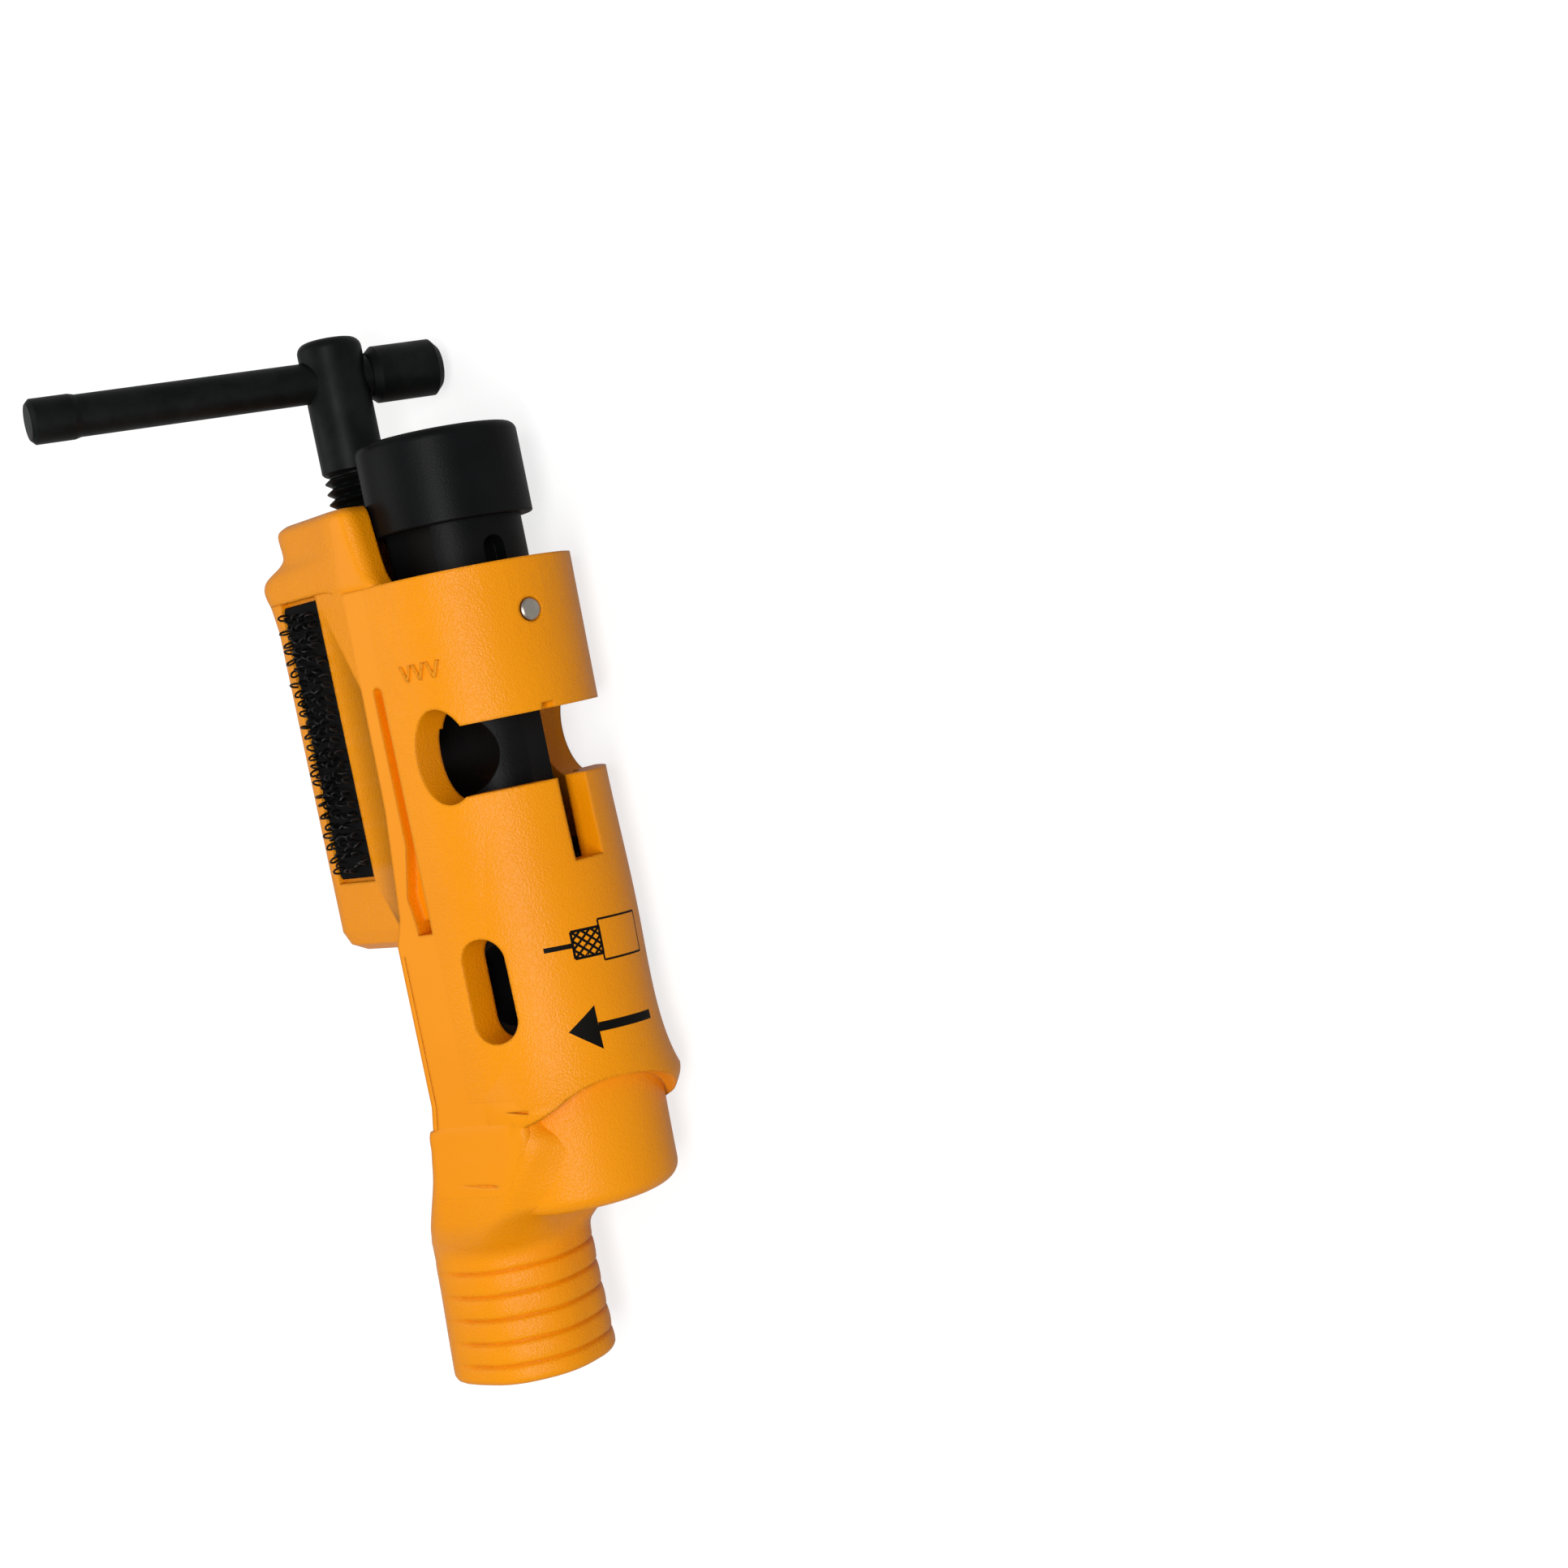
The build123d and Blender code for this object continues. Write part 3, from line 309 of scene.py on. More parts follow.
def threadTree():
    sizes = {key: pressScrew[key] for key in ("low", "high", "pitch", "outer", "depth", "around", "rings")}
    tree, start, end = nodeTree("screwThread", sizes)
    low, high, pitch = (start.outputs[key] for key in ("low", "high", "pitch"))
    sheet = tree.nodes.new("GeometryNodeMeshGrid")
    sheet.inputs["Size X"].default_value = 1.0
    sheet.inputs["Size Y"].default_value = 1.0
    tree.links.new(treeMath(tree, "ADD", start.outputs["around"], 1.0), sheet.inputs["Vertices X"])
    tree.links.new(start.outputs["rings"], sheet.inputs["Vertices Y"])
    where = tree.nodes.new("GeometryNodeInputPosition")
    split = tree.nodes.new("ShaderNodeSeparateXYZ")
    tree.links.new(where.outputs[0], split.inputs[0])
    turn = treeMath(tree, "ADD", split.outputs["X"], 0.5)
    share = treeMath(tree, "ADD", split.outputs["Y"], 0.5)
    along = treeMath(tree, "MULTIPLY_ADD", share, treeMath(tree, "SUBTRACT", high, low), low)
    phase = treeMath(tree, "FRACT", treeMath(tree, "SUBTRACT", treeMath(tree, "DIVIDE", along, pitch), turn))
    # a V groove with a narrow flat crest and root
    fromCrest = treeMath(tree, "ABSOLUTE", treeMath(tree, "SUBTRACT", phase, 0.5))
    flank = tree.nodes.new("ShaderNodeMapRange")
    flank.inputs["From Min"].default_value = pressScrew["crestFlat"]
    flank.inputs["From Max"].default_value = pressScrew["rootFrom"]
    tree.links.new(fromCrest, flank.inputs["Value"])
    # the groove runs out at both ends of the thread
    fromHigh = treeMath(tree, "DIVIDE", treeMath(tree, "SUBTRACT", high, along), pitch)
    fromLow = treeMath(tree, "DIVIDE", treeMath(tree, "SUBTRACT", along, low), pitch)
    quickHigh = treeMath(tree, "MULTIPLY", fromHigh, pressScrew["runOutHigh"])
    runOut = treeMath(tree, "MINIMUM", treeMath(tree, "MINIMUM", quickHigh, fromLow), 1.0)
    cutShare = treeMath(tree, "MULTIPLY", flank.outputs["Result"], runOut)
    cut = treeMath(tree, "MULTIPLY", cutShare, start.outputs["depth"])
    radius = treeMath(tree, "SUBTRACT", start.outputs["outer"], cut)
    angle = treeMath(tree, "MULTIPLY", turn, 2 * math.pi)
    place = tree.nodes.new("ShaderNodeCombineXYZ")
    for way, turned, centre in (("X", "SINE", toolAxes["screwX"]), ("Z", "COSINE", toolAxes["height"])):
        tree.links.new(treeMath(tree, "MULTIPLY_ADD", radius, treeMath(tree, turned, angle), centre), place.inputs[way])
    tree.links.new(along, place.inputs["Y"])
    shape = tree.nodes.new("GeometryNodeSetPosition")
    tree.links.new(sheet.outputs["Mesh"], shape.inputs["Geometry"])
    tree.links.new(place.outputs[0], shape.inputs["Position"])
    seam = tree.nodes.new("GeometryNodeMergeByDistance")
    seam.inputs["Distance"].default_value = pressScrew["weld"]
    tree.links.new(shape.outputs["Geometry"], seam.inputs["Geometry"])
    closeTree(tree, seam.outputs["Geometry"], end, "blackSteel")
    return tree, sizes


def turnedPiece(name, outline, around):
    # closed turned shape round the screw's axis, from (radius, y) points with both ends on the axis
    work = bmesh.new()
    rings = []
    for radius, y in outline:
        count = around if radius > 0 else 1
        turns = [2 * math.pi * k / around for k in range(count)]
        rings.append([work.verts.new((toolAxes["screwX"] + radius * math.sin(turn), y,
                                      toolAxes["height"] + radius * math.cos(turn))) for turn in turns])
    for low, high in zip(rings, rings[1:]):
        for k in range(around):
            after = (k + 1) % around
            corners = [low[k % len(low)], low[after % len(low)], high[after % len(high)], high[k % len(high)]]
            distinct = [corner for i, corner in enumerate(corners) if corner not in corners[:i]]
            if len(distinct) > 2:
                work.faces.new(distinct)
    return pieceFrom(work, name, "blackSteel", 30)


tree, sizes = threadTree()
thread = meshFromTree("screwThread", tree, sizes, "blackSteel")
outwardFaces(thread.data, openEnds=True)
shadeSmooth(thread.data, 35)

shankOutline = [(0.0, pressScrew["high"] - pressScrew["overlap"]),
                (pressScrew["outer"] - pressScrew["chamfer"], pressScrew["high"] - pressScrew["overlap"]),
                (pressScrew["shank"], pressScrew["high"] + pressScrew["chamfer"])]
for step in range(9):
    # the rounded edge of the top, then its flat crown
    turn = math.radians(step * 10)
    shankOutline.append((pressScrew["shank"] - pressScrew["edge"] * (1 - math.cos(turn)),
                         pressScrew["top"] - pressScrew["crown"] - pressScrew["edge"] * (1 - math.sin(turn))))
shankOutline += [(pressScrew["shank"] * 0.35, pressScrew["top"] - pressScrew["dome"]), (0.0, pressScrew["top"])]
shank = turnedPiece("screwShank", shankOutline, 64)
barTurn = math.radians(pressScrew["barAngle"])
barWay = Vector((math.cos(barTurn), 0, math.sin(barTurn)))
barPlace = Matrix.Translation((toolAxes["screwX"], pressScrew["barY"], toolAxes["height"]))
barFrame = barPlace @ barWay.to_track_quat("Z", "Y").to_matrix().to_4x4()
drill = bmesh.new()
bmesh.ops.create_cone(drill, cap_ends=True, segments=48, radius1=pressScrew["barHole"], radius2=pressScrew["barHole"],
                      depth=pressScrew["drillLong"], matrix=barFrame)
carve(shank, pieceFrom(drill, "barDrill", "blackSteel"))
shadeSmooth(shank.data, 30)

screwTip = {"low": 19.85 * mm, "high": 24.7 * mm, "radius": 1.9 * mm, "chamfer": 0.3 * mm, "groove": 1.4 * mm,
            "grooveLow": 21.6 * mm, "grooveHigh": 22.3 * mm, "cone": 0.45 * mm, "coneFrom": 2.6 * mm,
            "coneTo": 2.95 * mm}
tipOutline = [(0.0, screwTip["low"]), (screwTip["radius"] - screwTip["chamfer"], screwTip["low"]),
              (screwTip["radius"], screwTip["low"] + screwTip["chamfer"]),
              (screwTip["radius"], screwTip["grooveLow"]), (screwTip["groove"], screwTip["grooveLow"]),
              (screwTip["groove"], screwTip["grooveHigh"]), (screwTip["radius"], screwTip["grooveHigh"]),
              (screwTip["radius"], screwTip["high"] - screwTip["cone"]),
              (screwTip["coneFrom"], screwTip["high"] - screwTip["cone"]),
              (screwTip["coneTo"], screwTip["high"]), (0.0, screwTip["high"])]
tip = turnedPiece("screwTip", tipOutline, 48)
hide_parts("spindle")
for piece in (thread, shank, tip):
    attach(piece, "screw")
print("press screw with", len(thread.data.polygons), "thread faces")


# the moulding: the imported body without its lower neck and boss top, and those two forms drawn smooth
mouldingCuts = {"bossAt": 39.96, "neckAt": -20.8, "weld": 0.0005 * mm, "smoothTo": 10}


def track(keys, at):
    # a value at a height, eased through (height, value) keys
    if at <= keys[0][0]:
        return keys[0][1]
    if at >= keys[-1][0]:
        return keys[-1][1]
    after = next(i for i, key in enumerate(keys) if key[0] > at)
    before = after - 1
    (x0, y0), (x1, y1) = keys[before], keys[after]
    slope0 = (y1 - keys[max(0, before - 1)][1]) / (x1 - keys[max(0, before - 1)][0])
    slope1 = (keys[min(len(keys) - 1, after + 1)][1] - y0) / (keys[min(len(keys) - 1, after + 1)][0] - x0)
    wide = x1 - x0
    t = (at - x0) / wide
    return ((2 * t ** 3 - 3 * t ** 2 + 1) * y0 + (t ** 3 - 2 * t ** 2 + t) * wide * slope0
            + (3 * t ** 2 - 2 * t ** 3) * y1 + (t ** 3 - t ** 2) * wide * slope1)


def roundedSection(corners, arcSteps=6, edgeSteps=7, limit=0.49):
    # closed outline in (x, z) with rounded corners (x, z, radius), the same count of points at every height
    points, count = [], len(corners)
    for i, (x, z, radius) in enumerate(corners):
        here = Vector((x, z))
        toLast = Vector(corners[i - 1][:2]) - here
        toNext = Vector(corners[(i + 1) % count][:2]) - here
        half = max(0.02, toLast.angle(toNext) / 2)
        reach = min(radius / math.tan(half), limit * toLast.length, limit * toNext.length)
        start, end = here + toLast.normalized() * reach, here + toNext.normalized() * reach
        for step in range(arcSteps + 1):
            t = step / arcSteps
            points.append(start * (1 - t) ** 2 + here * 2 * t * (1 - t) + end * t ** 2)
    full = []
    for i, point in enumerate(points):
        full.append(point)
        if i % (arcSteps + 1) == arcSteps:
            nextPoint = points[(i + 1) % len(points)]
            full += [point.lerp(nextPoint, (k + 1) / (edgeSteps + 1)) for k in range(edgeSteps)]
    return full


def inFrame(x, y, z):
    # from millimetres beside the barrel's axis to the shared frame
    return Vector((toolAxes["barrelX"] + x * mm, y * mm, toolAxes["height"] + z * mm))


def ringSkin(name, rings, hole=(), finish="yellow"):
    # a closed skin over rings of equal count; the end rings are capped, or filled up to the hole's two rings
    work = bmesh.new()
    made = [[work.verts.new(point) for point in ring] for ring in rings]
    bore = [[work.verts.new(point) for point in ring] for ring in hole]
    for low, high in list(zip(made, made[1:])) + list(zip(bore, bore[1:])):
        for k in range(len(low)):
            after = (k + 1) % len(low)
            work.faces.new((low[k], low[after], high[after], high[k]))
    for outer, inner in zip((made[0], made[-1]), bore):
        edges = [work.edges.get((ring[k], ring[k - 1])) for ring in (outer, inner) for k in range(len(ring))]
        bmesh.ops.triangle_fill(work, edges=edges, use_beauty=True)
    if not bore:
        work.faces.new(made[0])
        work.faces.new(made[-1][::-1])
    return pieceFrom(work, name, finish, 40)


def trimmedBody():
    work = bmesh.new()
    work.from_mesh(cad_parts["housing"].data)
    bmesh.ops.remove_doubles(work, verts=work.verts, dist=mouldingCuts["weld"])
    for height, way in ((mouldingCuts["bossAt"], 1), (mouldingCuts["neckAt"], -1)):
        cut = bmesh.ops.bisect_plane(work, geom=work.verts[:] + work.edges[:] + work.faces[:],
                                     plane_co=(0, height * mm, 0), plane_no=(0, way, 0), clear_outer=True)
        rim = [item for item in cut["geom_cut"] if isinstance(item, bmesh.types.BMEdge)]
        bmesh.ops.triangle_fill(work, edges=rim, use_beauty=True)
    return pieceFrom(work, "mouldedBody", "yellow", mouldingCuts["smoothTo"])


# sizes in mm beside the barrel's axis; the keys give what grows or leans with the height
bossForm = {"low": 39.2, "flankLow": 39.93, "high": 47.0, "left": -19.4, "crest": -5.8, "top": 10.21, "back": -10.5,
            "cap": 7.9, "hole": 3.2, "holeLow": 40.1, "holeSides": 64, "steps": 44, "rampFrom": -6.4, "rampWide": 2.2,
            "backRound": 0.8, "cornerRound": 3.0, "flankRound": 3.6, "crestRound": 9.0, "ridgeRound": 2.4,
            "wallRound": 0.4, "hollowRound": 2.0, "hollowAngles": (42, 20, 0, -20, -42),
            "grow": ((39.0, 0.45), (39.9, 0.6), (40.8, 0.95), (41.6, 1.05), (42.3, 0.65), (42.9, -0.35), (43.5, -1.6),
                     (44.0, -2.3), (44.5, -2.4), (46.0, -2.2), (46.5, -2.3), (46.85, -2.6), (47.0, -3.0)),
            "lean": ((39.9, 13.0), (40.8, 12.6), (41.8, 12.6), (42.6, 13.6), (43.4, 16.4), (44.0, 17.2), (47.0, 17.0)),
            "ridge": ((39.2, -1.3), (40.0, -1.9), (41.0, -2.35), (43.9, -2.9), (46.4, -3.4), (47.0, -4.1)),
            "drop": ((39.2, 0.14), (39.6, 0.0), (39.95, -0.06), (41.0, -0.04), (42.5, 0.0), (46.0, 0.0), (46.6, 0.18),
                     (47.0, 0.75))}


def bossSection(y):
    form = bossForm
    grow, ridge, top = track(form["grow"], y), track(form["ridge"], y), form["top"] - track(form["drop"], y)
    left, clear = form["left"] - grow, form["cap"]
    flankZ = top - math.tan(math.radians(track(form["lean"], y))) * (form["crest"] - left)
    back = form["back"] + max(0.0, -grow) * 0.7
    wallZ = math.sqrt(clear ** 2 - ridge ** 2)
    hollow = [(-clear * math.cos(math.radians(a)), clear * math.sin(math.radians(a)), form["hollowRound"])
              for a in form["hollowAngles"]]
    return roundedSection([(ridge, back, form["backRound"]), (left, back, form["cornerRound"]),
                           (left, flankZ, form["flankRound"]), (form["crest"], top, form["crestRound"]),
                           (ridge, top, form["ridgeRound"]), (ridge, wallZ, form["wallRound"])]
                          + hollow + [(ridge, -wallZ, form["wallRound"])])


def bossRing(share):
    # the ring's low edge stays over the tape's recess on the flank and dips into the collar beside it
    nominal = bossForm["low"] + share * (bossForm["high"] - bossForm["low"])
    points = []
    for k, flat in enumerate(bossSection(nominal)):
        ramp = min(1.0, max(0.0, (bossForm["rampFrom"] - flat.x) / bossForm["rampWide"])) if flat.y > 0 else 1.0
        start = bossForm["low"] + (bossForm["flankLow"] - bossForm["low"]) * ramp
        y = start + share * (bossForm["high"] - start)
        exact = bossSection(y)[k]
        points.append(inFrame(exact.x, y, exact.y))
    return points


def bossHoleRing(y):
    turns = [2 * math.pi * k / bossForm["holeSides"] for k in range(bossForm["holeSides"])]
    return [inFrame(screwBeside + bossForm["hole"] * math.cos(turn), y, bossForm["hole"] * math.sin(turn))
            for turn in turns]


bossRings = [bossRing(step / bossForm["steps"]) for step in range(bossForm["steps"] + 1)]
bossTop = ringSkin("bossTop", bossRings, [bossHoleRing(bossForm["holeLow"]), bossHoleRing(bossForm["high"])])

# sizes in mm beside the barrel's axis; sink is a short crease (left, right, height, depth) in the flat face
gripForm = {"low": -37.3, "high": -9.0, "fine": 0.06, "coarse": 0.3, "fineNear": 0.42, "endRound": 0.8,
            "hexFlats": 11.1, "hexTop": -25.3, "ledge": -11.3, "sink": (-6.9, -2.5, -16.55, 0.42), "sinkWide": 0.09,
            "creases": (-26.15, -28.5, -30.8, -33.1, -35.35), "creaseDeep": 0.34, "creaseWide": 0.15, "ribPitch": 2.3,
            "ribProud": 0.1, "smoothFrom": 128.0, "smoothTo": 96.0, "limit": 0.94, "clear": 8.3, "clearFrom": -19.8,
            "clearTo": -18.4, "clearAngles": (55, 85, 115, 145, 180, 215, 245, 275, 305),
            "left": ((-37.3, -18.05), (-31.0, -17.8), (-27.0, -17.55), (-25.3, -17.35), (-24.0, -16.8), (-21.8, -14.75),
                     (-19.0, -12.6), (-16.5, -11.15), (-13.5, -10.15), (-11.4, -9.5), (-11.2, -8.5), (-9.0, -8.2)),
            "right": ((-37.3, -3.58), (-25.0, -3.58), (-23.6, -3.2), (-22.2, -2.3), (-20.8, -0.9), (-20.0, 0.6),
                      (-19.2, 2.6), (-18.2, 4.4), (-17.4, 5.1), (-16.0, 5.5), (-14.5, 5.4), (-13.0, 4.5), (-11.5, 3.2),
                      (-9.0, 3.1)),
            "rightTop": ((-37.3, 3.07), (-24.8, 3.07), (-23.0, 4.2), (-21.5, 5.8), (-20.4, 7.2), (-19.4, 7.9),
                         (-18.6, 7.3), (-17.4, 6.8), (-16.0, 6.5), (-14.5, 6.6), (-13.0, 7.2), (-11.5, 7.85),
                         (-9.0, 7.6)),
            "flat": ((-37.3, -7.93), (-24.8, -7.93), (-22.9, -5.9), (-21.3, -4.1), (-19.5, -2.1), (-17.4, -0.3),
                     (-15.5, 1.2), (-13.2, 2.65), (-11.5, 2.9), (-9.0, 2.6)),
            "top": ((-37.3, 7.42), (-25.2, 7.42), (-24.0, 7.75), (-22.6, 8.7), (-20.8, 9.6), (-18.0, 10.12),
                    (-15.0, 10.22), (-13.5, 10.22), (-11.2, 10.22), (-10.5, 10.0), (-9.8, 9.4), (-9.0, 8.2)),
            "leftRound": ((-37.3, 4.9), (-25.6, 4.9), (-21.5, 3.6), (-17.5, 2.2), (-11.25, 0.9)),
            "flatRound": ((-37.3, 7.3), (-24.8, 7.3), (-22.5, 5.5), (-19.5, 4.0), (-11.25, 3.4)),
            "rightRound": ((-37.3, 7.3), (-24.8, 7.3), (-22.5, 4.5), (-19.5, 1.2), (-11.25, 0.5))}


def gripSection(y):
    form = gripForm
    left, right, rightTop, flatEnd, top = (track(form[key], y) for key in ("left", "right", "rightTop", "flat", "top"))
    softLeft, softFlat, softRight = (track(form[key], y) for key in ("leftRound", "flatRound", "rightRound"))
    nearest = min((y - crease for crease in form["creases"]), key=abs)
    onRibs = form["creases"][-1] - form["ribPitch"] < y < form["creases"][0]
    ribShare = min(1.0, abs(nearest) / (form["ribPitch"] / 2))
    bulge = form["ribProud"] * math.sin(ribShare * math.pi / 2) if onRibs else 0.0
    groove = form["creaseDeep"] * math.exp(-(nearest / form["creaseWide"]) ** 2) - bulge
    below = max(0.0, form["endRound"] - (y - form["low"]))
    tuck = form["endRound"] - math.sqrt(max(0.0, form["endRound"] ** 2 - below ** 2))
    # beside the cup the skin keeps clear of its bore
    bentShare = min(1.0, max(0.0, (y - form["clearFrom"]) / (form["clearTo"] - form["clearFrom"])))
    hollow = []
    for k, angle in enumerate(form["clearAngles"]):
        bent = Vector((form["clear"] * math.cos(math.radians(angle)), form["clear"] * math.sin(math.radians(angle))))
        x, z = Vector((right, 0.3 * (1 - k / 4))).lerp(bent, bentShare)
        hollow.append((x, z, 1.0))
    corners = [(right, -rightTop, softRight), (flatEnd, -top, softFlat), (left, -top, softLeft), (left, top, softLeft),
               (flatEnd, top, softFlat), (right, rightTop, softRight)]
    sinkLeft, sinkRight, sinkY, sinkDeep = form["sink"]
    ring = []
    for flat in roundedSection(corners + hollow, 6, 8, form["limit"]):
        angle = abs(math.degrees(math.atan2(flat.y, flat.x - screwBeside)))
        share = min(1.0, max(0.0, (form["smoothFrom"] - angle) / (form["smoothFrom"] - form["smoothTo"])))
        deep = groove * share * share * (3 - 2 * share) + tuck
        inward = (Vector((screwBeside, 0.0)) - flat).normalized() * deep
        dip = 0.0
        if sinkLeft < flat.x < sinkRight and flat.y > 9:
            along = (flat.x - sinkLeft) / (sinkRight - sinkLeft)
            dip = sinkDeep * along * math.exp(-((y - sinkY + 0.25 * along) / form["sinkWide"]) ** 2)
        ring.append(inFrame(flat.x + inward.x, y, flat.y + inward.y - dip))
    return ring


gripRings, height = [], gripForm["high"]
fineMarks = gripForm["creases"] + (gripForm["sink"][2] - 0.12, gripForm["ledge"])
while height > gripForm["low"] + 0.01:
    gripRings.append(gripSection(height))
    near = min(abs(height - mark) for mark in fineMarks)
    closely = near < gripForm["fineNear"] or height < gripForm["low"] + gripForm["endRound"]
    height -= gripForm["fine"] if closely else gripForm["coarse"]
endRing = gripSection(gripForm["low"])
gripRings.append(endRing)
for y in (gripForm["low"], gripForm["hexTop"]):
    # the hexagon socket, seen along the grip's axis
    ring = []
    for point in endRing:
        way = Vector((point.x - toolAxes["screwX"], point.z - toolAxes["height"]))
        turn = math.degrees(math.atan2(way.y, way.x)) % 60 - 30
        way = way.normalized() * (gripForm["hexFlats"] / 2 / math.cos(math.radians(turn))) * mm
        ring.append(Vector((toolAxes["screwX"] + way.x, y * mm, toolAxes["height"] + way.y)))
    gripRings.append(ring)
gripAndNeck = ringSkin("gripAndNeck", gripRings)
mouldedBody = trimmedBody()
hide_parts("housing")
for piece in (mouldedBody, bossTop, gripAndNeck):
    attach(piece, "body")
print("moulding with", sum(len(piece.data.polygons) for piece in (mouldedBody, bossTop, gripAndNeck)), "faces")

# the plunger's full neck between collar and cap, with its flat, step and guide slot, in mm
plungerNeck = {"low": 38.45, "high": 45.25, "radius": 6.4, "sides": 96, "flatX": -4.6, "stepX": 2.4, "stepZ": 5.2,
               "slotWide": 2.3, "slotTop": 42.0, "slotAngle": 16.0, "slotDeep": 4.6, "past": 2.0, "outside": 1.0}
neckOutline = []
for step in range(plungerNeck["sides"]):
    angle = 2 * math.pi * step / plungerNeck["sides"]
    x, z = max(plungerNeck["radius"] * math.cos(angle), plungerNeck["flatX"]), plungerNeck["radius"] * math.sin(angle)
    neckOutline.append((x, min(z, plungerNeck["stepZ"]) if x < plungerNeck["stepX"] else z))
neckRings = [[inFrame(x, y, z) for x, z in neckOutline] for y in (plungerNeck["low"], plungerNeck["high"])]
sleeve = ringSkin("plungerNeck", neckRings, finish="black")

slotHalf, slotTurn = plungerNeck["slotWide"] / 2, math.radians(plungerNeck["slotAngle"])
slotArc = [math.radians(a) for a in range(0, 181, 12)]
slotOutline = [(plungerNeck["slotTop"] - slotHalf + slotHalf * math.sin(a), slotHalf * math.cos(a)) for a in slotArc]
slotOutline += [(plungerNeck["low"] - plungerNeck["past"], side) for side in (-slotHalf, slotHalf)]
slotRings = [[inFrame(reach * math.cos(slotTurn) - across * math.sin(slotTurn), y,
                      reach * math.sin(slotTurn) + across * math.cos(slotTurn)) for y, across in slotOutline]
             for reach in (plungerNeck["slotDeep"], plungerNeck["radius"] + plungerNeck["outside"])]
carve(sleeve, ringSkin("slotMill", slotRings, finish="black"))
shadeSmooth(sleeve.data, 30)
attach(sleeve, "cutter")
print("plunger neck with", len(sleeve.data.polygons), "faces")


# near and far are measured along the flank from its crest; spread, tilt and turn vary the single hooks
hookTape = {"low": 13.1 * mm, "high": 39.5 * mm, "near": 4.75 * mm, "far": 11.0 * mm, "sunk": 0.7 * mm,
            "web": 0.62 * mm, "pitch": 1.0 * mm, "rows": 6, "hooks": 25, "wire": 0.11 * mm, "hookHigh": 1.15 * mm,
            "hookReach": 0.55 * mm, "seed": 4, "spread": 0.34 * mm, "tilt": (0.35, 0.3), "turn": (0.3, 2.8),
            "hookFrom": -62, "hookSweep": 265, "webRows": 26, "webRibs": 106, "rib": 0.035 * mm,
            "rolledEdge": 0.25 * mm, "under": 0.27 * mm, "slope": 13.0, "crestX": -0.3 * mm}
slope = math.radians(hookTape["slope"])
flankFrame = Matrix((
    (-math.cos(slope), 0.0, -math.sin(slope), hookTape["crestX"]),
    (0.0, 1.0, 0.0, 0.0),
    (-math.sin(slope), 0.0, math.cos(slope), toolAxes["flatTop"]),
    (0.0, 0.0, 0.0, 1.0),
))


def randomVector(tree, low, high, seed):
    chance = tree.nodes.new("FunctionNodeRandomValue")
    chance.data_type = "FLOAT_VECTOR"
    chance.inputs["Min"].default_value = low
    chance.inputs["Max"].default_value = high
    tree.links.new(seed, chance.inputs["Seed"])
    return chance.outputs["Value"]


